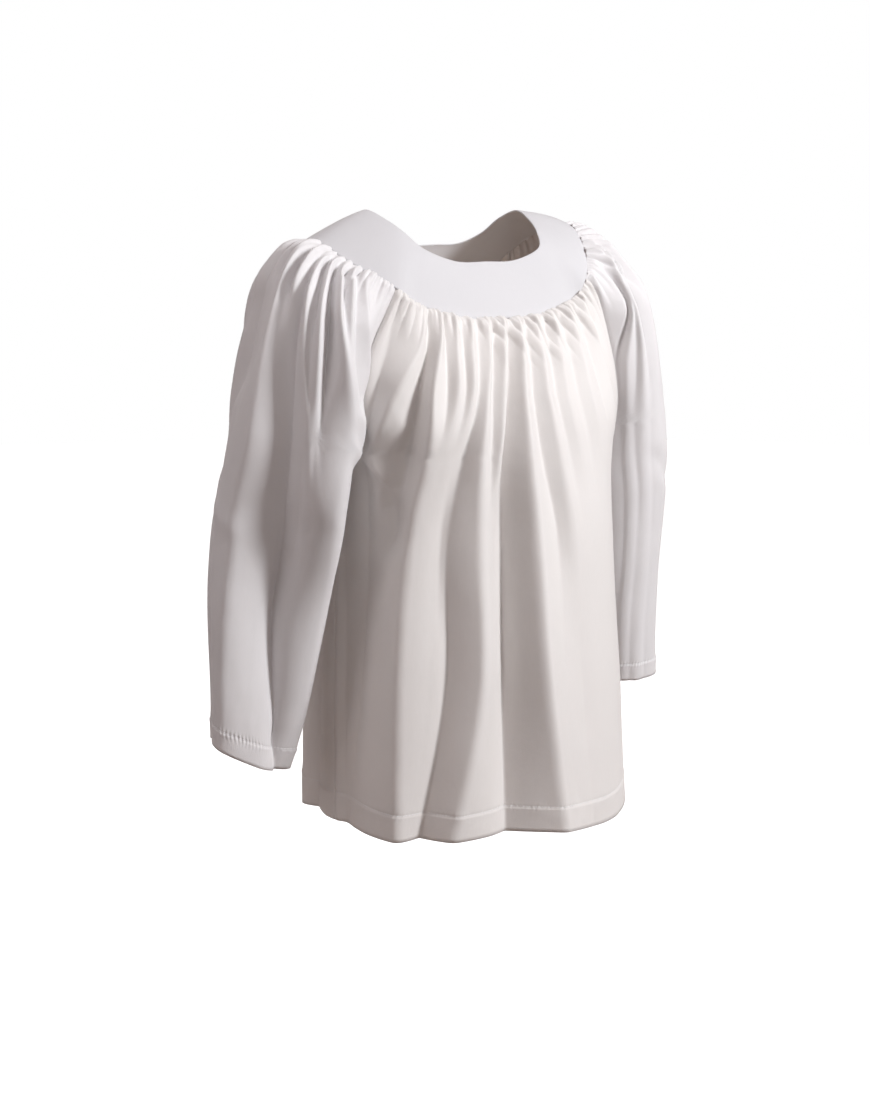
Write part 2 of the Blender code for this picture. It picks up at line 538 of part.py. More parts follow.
def column_shares(panel, pleats, down):
    """Shares of the wall's columns across a row: even near the yoke, then on the pleat lines and between."""
    is_sleeve = "sleeve" in panel
    if down < COLUMNS_FOLLOW:
        return np.linspace(0.0, 1.0, (SLEEVE_TOP_COLUMNS if is_sleeve else BODY_TOP_COLUMNS) + 1)
    length = base_row(panel, down, np.array([0.0]))[2]
    lines = pleat_lines(pleats, down)[0][1:-1] / length + 0.5
    beside = SEAM_COLUMN / length
    least = beside + np.arange(1, len(lines) + 1) * COLUMN_SPACE
    knots = np.concatenate([[beside], np.clip(lines, least, 1.0 - least[::-1]), [1.0 - beside]])
    steps = max(2, round(LOW_COLUMNS / (len(knots) - 1)))
    inner = np.interp(np.arange((len(knots) - 1) * steps + 1) / steps, np.arange(len(knots)), knots)
    return np.concatenate([[0.0], inner, [1.0]])


def drag_relief(drags, place, down):
    """Height of the drags and hollows along one row: ridges and troughs along curved paths."""
    height = np.zeros_like(place)
    here = np.stack([place, np.full_like(place, down * DOWN_LENGTH)], axis=-1)
    t = np.linspace(0.0, 1.0, DRAG_POINTS)
    for p0, d0, p1, d1, p2, d2, left, right, rise, sharp in drags:
        bend_p = 2.0 * p1 - (p0 + p2) / 2.0
        bend_d = 2.0 * d1 - (d0 + d2) / 2.0
        path_p = ((1 - t) ** 2 * p0 + 2 * t * (1 - t) * bend_p + t**2 * p2) / 1000.0
        path_d = ((1 - t) ** 2 * d0 + 2 * t * (1 - t) * bend_d + t**2 * d2) * DOWN_LENGTH
        path = np.stack([path_p, path_d], axis=-1)
        nearest = np.full(place.shape, PAST_ALL)
        along = np.zeros_like(place)
        side = np.zeros_like(place)
        for i in range(DRAG_POINTS - 1):
            run = path[i + 1] - path[i]
            share = np.clip(((here - path[i]) @ run) / float(run @ run), 0.0, 1.0)
            gap = here - path[i] - share[..., None] * run
            distance = np.hypot(gap[..., 0], gap[..., 1])
            closer = distance < nearest
            nearest = np.where(closer, distance, nearest)
            along = np.where(closer, (i + share) / (DRAG_POINTS - 1), along)
            side = np.where(closer, gap[..., 0] * run[1] - gap[..., 1] * run[0], side)
        width = np.where(side < 0.0, left, right) / 1000.0
        fade = ease(along / DRAG_STARTS) * (1.0 if d2 == 1.0 else ease((1.0 - along) / DRAG_ENDS))
        height += rise / 1000.0 * fade * np.exp(-((nearest / width) ** sharp))
    return height


def sway(points):
    """The left shoulder stands a little higher than the right."""
    points = np.array(points)
    outwards = ease((np.abs(points[:, 0]) - SWAY_FROM) / SWAY_WIDTH)
    upwards = ease((points[:, 2] - SWAY_BELOW) / SWAY_HEIGHT)
    points[:, 2] += np.sign(points[:, 0]) * SHOULDER_SWAY * outwards * upwards
    return points


def seam_frame(which, down):
    """Shared inward and sideways directions at a seam, the same for every piece that meets there.

    Sideways leads from the body panel into the sleeve, and at the side seam from front to back.
    """
    if down > UNDERARM:
        return np.array([-1.0, 0.0, 0.0]), np.array([0.0, 1.0, 0.0])
    if down == UNDERARM:
        return np.array([0.0, 0.0, 1.0]), np.array([1.0, 0.0, 0.0])
    body, body_out, _ = base_row(which, down, np.array([1.0, 1.0 - SEAM_PROBE]))
    sleeve_end = 0.0 if which == "front" else 1.0
    into_sleeve = abs(sleeve_end - SEAM_PROBE)
    sleeve, sleeve_out, _ = base_row("left_sleeve", down, np.array([sleeve_end, into_sleeve]))
    inward = -unit(body_out[0] + sleeve_out[0])
    sideways = unit(sleeve[1] - sleeve[0]) - unit(body[1] - body[0])
    return inward, unit(sideways - inward * float(sideways @ inward))


def top_turns(panel, across):
    """Turns round the yoke of points spread evenly along a panel's top line."""
    if "sleeve" in panel:
        turns = np.linspace(FRONT_TURN, BACK_TURN, LINE_POINTS)
        line = sleeve_line(panel, 0.0)
    elif panel == "front":
        turns = np.linspace(-FRONT_TURN, FRONT_TURN, LINE_POINTS)
        line = body_line(panel, 0.0)
    else:
        turns = np.linspace(360.0 - BACK_TURN, BACK_TURN, LINE_POINTS)
        line = body_line(panel, 0.0)
    run = np.concatenate([[0.0], np.cumsum(np.linalg.norm(np.diff(line, axis=0), axis=1))])
    return np.interp(across * run[-1], run, turns)


def yoke_frame(turn):
    """Shared inward direction and direction away from the neck at the yoke's outer edge."""
    inward = -yoke_normal(turn, np.ones_like(turn))
    away = yoke_point(turn, np.ones_like(turn)) - yoke_point(turn, np.full_like(turn, 0.9))
    away = away - inward * np.sum(away * inward, axis=-1, keepdims=True)
    return inward, unit(away)


class Wall:
    """A closed wall of cloth, joined row by row from its outer and inner faces."""

    def __init__(self):
        self.points = []
        self.faces = []

    def add_row(self, points, closed):
        first = len(self.points)
        kept = points[:-1] if closed else points
        self.points.extend(tuple(float(c) for c in p) for p in kept)
        numbers = list(range(first, first + len(kept)))
        return numbers + [first] if closed else numbers

    def bridge(self, upper, lower, upper_at, lower_at, turned=False):
        """Triangles between two rows, column to column, or by their places where the numbers differ."""
        if len(upper) == len(lower):
            upper_at = lower_at
        i = 0
        j = 0
        while i < len(upper) - 1 or j < len(lower) - 1:
            next_upper = upper_at[i + 1] if i < len(upper) - 1 else PAST_ALL
            next_lower = lower_at[j + 1] if j < len(lower) - 1 else PAST_ALL
            if next_lower <= next_upper:
                corners = (upper[i], lower[j], lower[j + 1])
                j += 1
            else:
                corners = (upper[i], lower[j], upper[i + 1])
                i += 1
            self.faces.append(corners[::-1] if turned else corners)

    def close(self, outer, inner, shares):
        """Outer face, the same face turned over for the inside, and the two edges between them."""
        for k in range(len(outer) - 1):
            self.bridge(outer[k], outer[k + 1], shares[k], shares[k + 1])
            self.bridge(inner[k], inner[k + 1], shares[k], shares[k + 1], turned=True)
        self.bridge(inner[0], outer[0], shares[0], shares[0])
        self.bridge(outer[-1], inner[-1], shares[-1], shares[-1])

    def side(self, outer, inner, at_end):
        """Narrow faces down an open side, from row to row."""
        end = -1 if at_end else 0
        for k in range(len(outer) - 1):
            corners = [outer[k][end], outer[k + 1][end], inner[k + 1][end], inner[k][end]]
            if not at_end:
                corners.reverse()
            self.faces.append((corners[0], corners[1], corners[2]))
            self.faces.append((corners[0], corners[2], corners[3]))

    def finish(self, name, colour):
        """The wall as a named object with its own material, faces outwards."""
        at = np.asarray(self.points)
        tri = np.asarray(self.faces)
        volume = np.einsum("ij,ij->i", at[tri[:, 0]], np.cross(at[tri[:, 1]], at[tri[:, 2]])).sum()
        if volume < 0.0:
            tri = tri[:, ::-1]
        mesh = bpy.data.meshes.new(name)
        mesh.from_pydata([tuple(p) for p in at], [], [tuple(int(k) for k in t) for t in tri])
        mesh.update()
        piece = bpy.data.objects.new(name, mesh)
        bpy.context.scene.collection.objects.link(piece)
        material = bpy.data.materials.new(name + "_cloth")
        material.use_nodes = True
        shader = material.node_tree.nodes["Principled BSDF"]
        shader.inputs["Base Color"].default_value = colour
        shader.inputs["Roughness"].default_value = 0.8
        mesh.materials.append(material)
        return piece


def panel_row(panel, down, across):
    """Points, inward directions and seam gaps of one row of a body panel or the left sleeve."""
    points, out, length = base_row(panel, down, across)
    inward = -out
    shift = np.zeros_like(points)
    half_gap = SEAM_GAP / 2.0
    if down == 0.0:
        inward, away = yoke_frame(top_turns(panel, across))
        shift = away * half_gap
    if "sleeve" in panel:
        if down < UNDERARM:
            for which, end in (("front", 0), ("back", -1)):
                seam_inward, sideways = seam_frame(which, down)
                if down > 0.0:
                    inward[end] = seam_inward
                shift[end] = shift[end] + sideways * half_gap
        elif down == UNDERARM:
            inward[0], sideways = seam_frame("front", down)
            shift[0] = sideways * half_gap
        if down >= UNDERARM:
            inward[-1] = inward[0]
            shift[-1] = shift[0]
        return points, inward, shift, length
    seam_inward, sideways = seam_frame(panel, down)
    apart = np.array([0.0, -half_gap if panel == "front" else half_gap, 0.0])
    pull = np.zeros(3)
    if down <= UNDERARM:
        pull = pull - sideways * half_gap
    if down >= UNDERARM:
        pull = pull + apart
    mirror = np.array([-1.0, 1.0, 1.0])
    if down > 0.0:
        inward[-1] = seam_inward
        inward[0] = seam_inward * mirror
    shift[-1] = shift[-1] + pull
    shift[0] = shift[0] + pull * mirror
    return points, inward, shift, length


def panel_wall(name, panel, pleats, drags, kind, colour):
    """Wall of a body panel or sleeve; the right sleeve is built as a left one and mirrored."""
    wall = Wall()
    is_sleeve = "sleeve" in panel
    gathers = SLEEVE_GATHERS if is_sleeve else BODY_GATHERS
    mirror = np.array([-1.0 if panel == "right_sleeve" else 1.0, 1.0, 1.0])
    outer = []
    inner = []
    shares = []
    for down in WALL_ROWS:
        across = column_shares(panel, pleats, down)
        points, inward, shift, length = panel_row(panel, down, across)
        calm_width = SEAM_CALM + UNDERARM_CALM * ease((down - CALM_FROM) / CALM_GROWS) * is_sleeve
        calm = ease(np.minimum(across, 1.0 - across) * length / calm_width)
        place = (across - 0.5) * length
        relief = gather_relief(across, down, gathers, kind)
        relief = relief + (pleat_relief(pleats, place, down) + drag_relief(drags, place, down)) * calm
        closed = is_sleeve and down >= UNDERARM
        faces = points + shift - inward * relief[:, None]
        lean = np.minimum(np.hypot(1.0, np.gradient(relief, place)), MOST_LEAN)
        backs = faces + inward * ((HEM_CLOTH if down > HEM_STARTS else CLOTH) * lean)[:, None]
        outer.append(wall.add_row(sway(faces * mirror), closed))
        inner.append(wall.add_row(sway(backs * mirror), closed))
        shares.append(across)
    wall.close(outer, inner, shares)
    open_rows = sum(down <= UNDERARM for down in WALL_ROWS) if is_sleeve else len(WALL_ROWS)
    wall.side(outer[:open_rows], inner[:open_rows], False)
    wall.side(outer[:open_rows], inner[:open_rows], True)
    return wall.finish(name, colour)


def yoke_wall(name, colour):
    """Wall of the yoke: one ring from the neck edge to the gathered seam."""
    wall = Wall()
    turn = np.linspace(-180.0, 180.0, YOKE_COLUMNS + 1)
    outer = []
    inner = []
    for across in np.linspace(0.0, 1.0, YOKE_ROWS):
        share = np.full_like(turn, across)
        faces = yoke_point(turn, share)
        inward = -yoke_normal(turn, share)
        if across == 1.0:
            inward, away = yoke_frame(turn)
            faces = faces - away * SEAM_GAP / 2.0
        outer.append(wall.add_row(sway(faces), True))
        inner.append(wall.add_row(sway(faces + inward * CLOTH), True))
    wall.close(outer, inner, [turn] * YOKE_ROWS)
    return wall.finish(name, colour)


def main():
    for old in list(bpy.data.objects):
        bpy.data.objects.remove(old)
    yoke_wall("yoke", YOKE_WHITE)
    panel_wall("body_front", "front", FRONT_PLEATS, FRONT_DRAGS, 1.0, BODY_WHITE)
    panel_wall("body_back", "back", BACK_PLEATS, BACK_DRAGS, 2.0, BODY_WHITE)
    panel_wall("sleeve_right", "right_sleeve", RIGHT_SLEEVE_PLEATS, RIGHT_SLEEVE_DRAGS, 3.0, SLEEVE_WHITE)
    panel_wall("sleeve_left", "left_sleeve", LEFT_SLEEVE_PLEATS, LEFT_SLEEVE_DRAGS, 4.0, SLEEVE_WHITE)


main()
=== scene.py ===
"""Looks of the surplice: gathered white poplin on a round yoke, in its worn and hollow pose."""
import math

import bmesh
import bpy
import numpy as np
from bpy.props import FloatProperty, FloatVectorProperty, PointerProperty
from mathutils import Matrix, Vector


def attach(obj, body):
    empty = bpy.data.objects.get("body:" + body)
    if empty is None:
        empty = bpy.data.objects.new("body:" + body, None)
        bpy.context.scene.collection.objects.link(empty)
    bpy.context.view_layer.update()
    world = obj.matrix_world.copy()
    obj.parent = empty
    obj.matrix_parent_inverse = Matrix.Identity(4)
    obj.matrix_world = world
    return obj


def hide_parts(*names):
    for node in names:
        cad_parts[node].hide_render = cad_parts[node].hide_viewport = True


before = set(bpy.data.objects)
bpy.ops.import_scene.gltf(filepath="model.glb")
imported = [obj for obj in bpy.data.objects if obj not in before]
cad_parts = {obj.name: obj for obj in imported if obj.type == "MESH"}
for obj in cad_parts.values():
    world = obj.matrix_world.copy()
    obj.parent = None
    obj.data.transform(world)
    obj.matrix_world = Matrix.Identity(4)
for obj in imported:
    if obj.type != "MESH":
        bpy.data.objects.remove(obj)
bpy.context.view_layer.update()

bl_info = {
    "name": "Surplice",
    "version": (1, 0, 0),
    "blender": (4, 5, 0),
    "location": "View3D > Sidebar > Surplice",
    "description": "Dresses the surplice in gathered white poplin",
    "category": "Object",
}

# Panels: the underarm's place, the length of a down of 1, and the fineness of the grids
UNDERARM = 0.30
DOWN_LENGTH = 0.62
LINE_POINTS = 481
PROBE = 0.004

# Rows from yoke to hem: each step is a lower end and how many rows lead to it
BODY_ROWS = [(0.024, 15), (0.05, 10), (0.12, 18), (0.30, 28), (0.62, 34), (0.935, 30), (0.976, 14), (1.0, 3)]
SLEEVE_ROWS = BODY_ROWS[:5] + [(0.930, 30), (0.974, 14), (1.0, 3)]
YOKE_ROWS = [(0.03, 4), (0.96, 25), (1.0, 5)]
HEM_ROWS = 17

# Gathers at the yoke: how many, how high, how far down and how much they vary
BODY_GATHERS = 32
SLEEVE_GATHERS = 24
FINE_HEIGHT = 0.0017
FINE_REACH = 0.034
MAIN_HEIGHT = 0.0052
MAIN_REACH = 0.105
REACH_LEAST = 0.5
GATHER_LEAST = 0.55
GATHER_SPREAD = 0.75
GATHER_WANDER = 0.30
WANDER_ACROSS = 0.6
WANDER_DOWN = 14.0
GATHER_SHARPNESS = 0.55
GATHER_GROWN = 0.014

# Pleats: their share of height at the seam, where they reach it all, and how round they are
AT_SEAM = 0.45
PLEAT_GROWN = 0.03
CREST_ROUNDING = 0.0060
CREST_AT_SEAM = 0.3
CREST_GROWN = 0.5
TROUGH_ROUNDING = 0.0013
ROUNDING_STEPS = 7

# Drags: points along a path, how many widths each is worked out to, and how its ends fade
FOLD_POINTS = 25
FOLD_MARGIN = 3.2
FOLD_STARTS = 0.25
FOLD_ENDS = 0.3

# Seams: the calm cloth beside them, and the dips along them and below the yoke
SEAM_CALM = 0.016
UNDERARM_CALM = 0.014
CALM_FROM = 0.17
CALM_GROWS = 0.10
GATHER_EDGE = 0.006
SEAM_DIP = 0.0009
SEAM_DIP_WIDTH = 0.0025
YOKE_DIP = 0.0016
YOKE_DIP_REACH = 0.0035
TUCK_REACH = 0.003

# Smoothing of the sleeves past the underarm
EASED_REACH = 0.09
EASED_EDGE = 0.02
EASED_PASSES = 60
EASED_LEAST = 0.02

# Pressed cloth's unevenness
# columns: height, swells across, swells down, shift
CRUMPLE = [
    (0.0007, 11.0, 7.0, 0.0),
    (0.00025, 31.0, 19.0, 9.0),
]

# Hems: where they are stitched, the puckers and the groove there, and the doubled cloth below
HEM_AT = 0.950
PUCKER_PITCH = 0.0044
PUCKER_HEIGHT = 0.0011
PUCKER_REACH = 0.0055
PUCKER_SLANT = 75.0
PUCKER_WANDER = 0.35
PUCKER_DRIFT = (0.45, 90.0)
PUCKER_FADES = 0.13
PUCKER_LEAST = 0.55
PUCKER_SPREAD = 0.45
GROOVE_DEPTH = 0.0007
GROOVE_WIDTH = 0.0011
DOUBLED_HEIGHT = 0.0009
DOUBLED_FROM = -0.0006
DOUBLED_WIDTH = 0.0016
WAVE_HEIGHT = 0.0006
WAVE_LENGTH = 0.017
WAVE_TURN = 40.0
WAVE_REACH = 0.022

# How the cloth hangs unevenly on the wearer
SHOULDER_SWAY = 0.009
SWAY_FROM = 0.11
SWAY_WIDTH = 0.09
SWAY_BELOW = -0.20
SWAY_HEIGHT = 0.17
LEFT_HEM_DROP = 0.017
HEM_DROP_AT = 0.10
SIDE_CURVE = 2.2

# Yoke: how far down it still shapes the cloth, its roundness, unevenness and rolled edges
YOKE_HOLD = 0.12
YOKE_ROUND = 0.004
YOKE_LIFT = 0.08
TURN_PROBE = 0.5
SHARE_PROBE = 0.02
YOKE_SWELL = 0.0004
SWELL_ROUND = 0.055
SWELL_ACROSS = 0.05
SWELL_FADES = 12.0
YOKE_RAISED = 0.0005
NECK_ROLL = 0.0007
NECK_ROLL_WIDTH = 0.0016
EDGE_ROLL = 0.0009
EDGE_ROLL_WIDTH = 0.0018
EDGE_REACH = 0.0004
MIDDLE_ROW = 20

# From the wearer's left to the right
MIRROR = np.array([-1.0, 1.0, 1.0])

# Factors of the fixed uneven values
UNEVEN = (12.9898, 78.233, 437.5453)
LATTICE = (12.9898, 78.233, 37.719, 43758.5453)

# Turns round the yoke where the body panels and sleeves meet, in degrees from the front middle
FRONT_TURN = 60.0
BACK_TURN = 122.0

# Half of the yoke, from front middle to back middle
# columns: turn, neck edge x, y, z, outer edge x, y, z
YOKE_EDGES = [
    (0, 0.000, -0.078, -0.061, 0.000, -0.108, -0.127),
    (20, 0.046, -0.078, -0.060, 0.062, -0.107, -0.125),
    (40, 0.090, -0.073, -0.046, 0.124, -0.101, -0.108),
    (60, 0.106, -0.053, -0.026, 0.152, -0.0965, -0.086),
    (76, 0.114, -0.031, -0.012, 0.183, -0.060, -0.056),
    (90, 0.119, 0.000, 0.000, 0.203, -0.0125, -0.0285),
    (104, 0.111, 0.024, -0.009, 0.196, 0.034, -0.033),
    (122, 0.098, 0.043, -0.027, 0.166, 0.068, -0.060),
    (140, 0.074, 0.058, -0.040, 0.124, 0.088, -0.092),
    (160, 0.038, 0.063, -0.042, 0.062, 0.098, -0.112),
    (180, 0.000, 0.065, -0.043, 0.000, 0.101, -0.117),
]

# Middle line of each body panel; down runs from 0 at the yoke to 1 at the hem
# columns: down, y, z
FRONT_MIDDLE = [
    (0.00, -0.108, -0.127),
    (0.06, -0.132, -0.155),
    (0.14, -0.158, -0.195),
    (0.22, -0.174, -0.238),
    (0.30, -0.182, -0.282),
    (0.45, -0.190, -0.380),
    (0.65, -0.200, -0.510),
    (0.82, -0.209, -0.620),
    (1.00, -0.218, -0.730),
]
BACK_MIDDLE = [
    (0.00, 0.101, -0.117),
    (0.06, 0.114, -0.146),
    (0.14, 0.126, -0.185),
    (0.22, 0.129, -0.230),
    (0.30, 0.128, -0.278),
    (0.45, 0.124, -0.380),
    (0.65, 0.122, -0.505),
    (0.82, 0.122, -0.612),
    (1.00, 0.124, -0.725),
]

# Seams on the wearer's left; the right side mirrors them
# columns: down, x, y, z
FRONT_SEAM = [
    (0.00, 0.152, -0.0965, -0.086),
    (0.06, 0.170, -0.099, -0.115),
    (0.12, 0.188, -0.098, -0.150),
    (0.18, 0.199, -0.098, -0.190),
    (0.24, 0.203, -0.088, -0.235),
    (0.28, 0.201, -0.052, -0.260),
    (0.30, 0.197, -0.012, -0.270),
]
BACK_SEAM = [
    (0.00, 0.166, 0.068, -0.060),
    (0.06, 0.180, 0.078, -0.094),
    (0.12, 0.190, 0.080, -0.135),
    (0.18, 0.197, 0.076, -0.180),
    (0.24, 0.200, 0.058, -0.228),
    (0.28, 0.199, 0.022, -0.260),
    (0.30, 0.197, -0.012, -0.270),
]
SIDE_SEAM = [
    (0.30, 0.197, -0.012, -0.270),
    (0.36, 0.189, -0.015, -0.305),
    (0.45, 0.187, -0.020, -0.365),
    (0.65, 0.195, -0.030, -0.492),
    (0.82, 0.204, -0.038, -0.602),
    (1.00, 0.209, -0.046, -0.724),
]

# Shape of the body sections: how square each is
# columns: down, front squareness, back squareness
BODY_SECTIONS = [
    (0.00, 2.5, 2.4),
    (0.14, 2.6, 2.5),
    (0.30, 2.7, 2.5),
    (0.65, 2.5, 2.4),
    (1.00, 2.3, 2.3),
]

# Sleeve above the underarm: its outermost line and half its size from front to back
# columns: down, x, y, z, half depth
SLEEVE_CAP = [
    (0.00, 0.203, -0.0125, -0.0285, 0.084),
    (0.03, 0.228, -0.018, -0.037, 0.090),
    (0.07, 0.249, -0.024, -0.055, 0.096),
    (0.12, 0.270, -0.030, -0.085, 0.101),
    (0.18, 0.291, -0.033, -0.132, 0.100),
    (0.24, 0.305, -0.034, -0.190, 0.098),
    (0.30, 0.314, -0.034, -0.256, 0.095),
]
# Sleeves below the underarm: rings round a middle line, with their outward and forward half sizes,
# written for the wearer's left; the right one hangs flatter, its broad side turned forwards
# columns: down, middle x, y, z, outward x, y, z, forward x, y, z
LEFT_SLEEVE_RINGS = [
    (0.30, 0.2555, -0.023, -0.263, 0.0585, -0.011, 0.007, 0.002, -0.095, 0.000),
    (0.38, 0.2630, -0.024, -0.310, 0.0600, -0.008, 0.004, 0.001, -0.092, 0.000),
    (0.50, 0.2730, -0.020, -0.370, 0.0600, -0.003, 0.003, -0.003, -0.086, -0.001),
    (0.65, 0.2850, -0.015, -0.450, 0.0570, 0.000, 0.000, -0.006, -0.076, -0.003),
    (0.82, 0.3000, -0.012, -0.540, 0.0510, -0.003, 0.000, -0.010, -0.063, -0.005),
    (1.00, 0.3150, -0.011, -0.624, 0.0430, -0.006, 0.002, -0.014, -0.052, -0.006),
]
RIGHT_SLEEVE_RINGS = [
    (0.30, 0.2555, -0.023, -0.263, 0.0585, -0.011, 0.007, 0.002, -0.095, 0.000),
    (0.38, 0.2620, -0.025, -0.310, 0.0560, -0.008, 0.004, -0.009, -0.087, -0.001),
    (0.50, 0.2705, -0.020, -0.370, 0.0460, -0.018, 0.003, -0.032, -0.067, -0.004),
    (0.65, 0.2810, -0.013, -0.450, 0.0350, -0.025, 0.000, -0.046, -0.043, -0.008),
    (0.82, 0.2935, -0.011, -0.541, 0.0290, -0.022, 0.000, -0.039, -0.035, -0.017),
    (1.00, 0.3070, -0.011, -0.630, 0.0240, -0.018, -0.001, -0.031, -0.028, -0.022),
]
SLEEVE_SQUARENESS = 2.4
SLEEVE_SQUARED = 0.2

# Pleats. Each row is the line of a crest or a trough, in order across the panel: its place in millimetres
# from the panel's middle line at each of the downs below, then its height in millimetres there.
# Places run towards the wearer's left on the body and from front to back on a sleeve.
PLEAT_DOWNS = (0.0, 0.09, 0.18, 0.29, 0.45, 0.70, 1.0)
FRONT_PLEATS = [
    (-191, -194, -221, -240, -266, -302, -308, 0, 0, -1.5, -2.5, -4.5, -6, -6.5),
    (-172, -180, -208, -231, -239, -257, -289, -2.5, -4, -6, -4, -7, -9, -6.5),
    (-121, -142, -181, -218, -215, -236, -262, 1, 4, 8, 4, 2.5, 1.5, 2.5),
    (-113, -131, -157, -176, -195, -216, -234, -4, -9, -14, -9, 10.5, 11.5, 12),
    (-102, -120, -145, -156, -175, -196, -207, 4, 7.5, 13, 16, 18.5, 22, 21),
    (-92, -108, -124, -146, -167, -186, -203, -4, -4.5, -2.5, 12, 12, 15, 14.5),
    (-80, -96, -113, -137, -159, -175, -199, 4, 6, 8.5, 8, 6.5, 7.5, 8.5),
    (-65, -85, -102, -128, -151, -165, -195, -2.5, -2, 0, 4, 0, 0.5, 2),
    (-56, -76, -94, -119, -143, -154, -192, 5, 7, 8, 0, -6, -6, -4),
    (-41, -64, -85, -110, -135, -144, -188, -4, -1.5, 0, -4.5, -6, -13, -10.5),
    (-28, -50, -74, -92, -98, -103, -147, 5, 7, 9.5, 13.5, 12, 14.5, 9.5),
    (-15, -40, -63, -77, -85, -89, -122, -5, -7, -4.5, 0.5, 3, 0.5, -0.5),
    (-2, -27, -50, -65, -73, -74, -96, 4, 6, 8.5, 10, -10, -12.5, -11),
    (9, -15, -36, -54, -54, -58, -68, -6, -10.5, -13, -17.5, -23, -29, -26),
    (24, 0, -21, -28, -27, -26, -8, 5, 7.5, 11, 15, 20, 24, 22),
    (34, 15, -1, -2, 14, 6, 24, -4, -4, -3, -2, 2.5, 17.5, 14),
    (47, 30, 16, 20, 33, 38, 52, 5, 7.5, 10, 11.5, 12.5, 11.5, 8.5),
    (66, 48, 33, 39, 53, 64, 74, -4, -2, 1, 3.5, 11, 10.5, 7.5),
    (77, 62, 49, 56, 74, 84, 105, 5, 7, 8.5, 8, 10, 9, 6.5),
    (91, 82, 73, 81, 95, 104, 122, -2.5, -1.5, 0, 2, 8, 7, 5),
    (105, 99, 92, 102, 116, 124, 139, 5, 7, 8, 7, 7, 6, 4),
    (123, 120, 118, 124, 136, 144, 156, -2.5, -1.5, 0, 4.5, 5, 4.5, 3),
    (137, 138, 142, 147, 157, 164, 173, 5, 7, 7, 3.5, 4, 3.5, 2),
    (145, 151, 159, 169, 178, 183, 190, -2.5, -1.5, 0, 1.5, 2.5, 1.5, 1),
    (152, 164, 179, 198, 230, 239, 250, 0, 0, 0, 0, 0, 0, 0),
]
BACK_PLEATS = [
    (-155, -180, -212, -238, -258, -275, -290, 0, 0, 0, 0, 0, 0, 0),
    (-131, -147, -176, -204, -226, -242, -251, -3, -5.5, -6.5, -7.5, -9.5, -10.5, -9.5),
    (-121, -137, -166, -192, -212, -226, -233, 3.5, 4.5, 5.5, 6.5, 7.5, 8.5, 8.5),
    (-111, -126, -153, -178, -195, -206, -212, -3.5, -4.5, -3.5, -2.5, 0, 2.5, 3.5),
    (-97, -112, -137, -158, -172, -180, -185, 3, 3.5, 4.5, 5, 6, 6.5, 6.5),
    (-91, -105, -129, -149, -161, -168, -174, -2, -2.5, -2.5, -3, -4, -4, -4),
    (-78, -92, -113, -130, -139, -144, -149, 2.5, 4, 4, 3.5, 2.5, 1.5, 1),
    (-69, -82, -101, -115, -123, -127, -132, -4, -6.5, -7.5, -9, -11.5, -13, -11.5),
    (-60, -71, -88, -99, -105, -108, -113, 4, 6, 7.5, 8.5, 9.5, 11, 11),
    (-51, -60, -74, -84, -88, -91, -96, -3, -3.5, -3, -2, 0, 2, 3),
    (-40, -48, -59, -66, -68, -71, -76, 4.5, 6, 7, 7.5, 9.5, 10.5, 10.5),
    (-30, -37, -45, -49, -51, -53, -57, -2.5, -3.5, -3.5, -4, -5, -5, -5),
    (-21, -25, -31, -34, -35, -37, -40, 2.5, 3.5, 4, 3, 2.5, 1.5, 1),
    (-8, -10, -12, -13, -14, -15, -16, -2, -3.5, -4.5, -5, -6.5, -7, -6.5),
    (-1, -2, -2, -2, -2, -2, -2, 4, 6, 7, 8.5, 9.5, 10.5, 10.5),
    (8, 9, 11, 12, 12, 13, 15, -3, -3.5, -3, -2, 0, 2, 3),
    (23, 27, 31, 34, 35, 38, 42, 4, 5.5, 6.5, 7, 9, 9.5, 9.5),
    (30, 35, 41, 44, 46, 50, 56, -2.5, -3, -3, -3.5, -4.5, -4.5, -4.5),
    (43, 50, 58, 63, 67, 73, 82, 2, 3.5, 3.5, 3, 2, 1.5, 0.5),
    (53, 61, 70, 76, 81, 90, 100, -3, -5, -6, -7, -9, -10, -9),
    (65, 75, 86, 93, 100, 112, 123, 4.5, 6.5, 7.5, 9, 10, 11.5, 11.5),
    (75, 85, 98, 106, 116, 130, 142, -3, -3.5, -3, -2, 0, 2, 3),
    (85, 96, 109, 120, 132, 147, 161, 4, 5, 6, 6.5, 8, 8.5, 8.5),
    (96, 108, 123, 136, 151, 168, 182, -2, -3, -3, -3.5, -4.5, -4.5, -4.5),
    (105, 118, 135, 151, 168, 187, 201, 2, 3.5, 3.5, 3, 2, 1.5, 0.5),
    (113, 126, 146, 164, 182, 202, 216, -3, -4.5, -5.5, -6.5, -8.5, -9.5, -8.5),
    (125, 140, 162, 184, 206, 227, 240, 4.5, 6, 7.5, 8.5, 10, 11, 11),
    (136, 152, 179, 205, 229, 249, 261, -3.5, -4, -3.5, -2, 0, 2, 3.5),
    (155, 180, 212, 238, 258, 275, 290, 0, 0, 0, 0, 0, 0, 0),
]
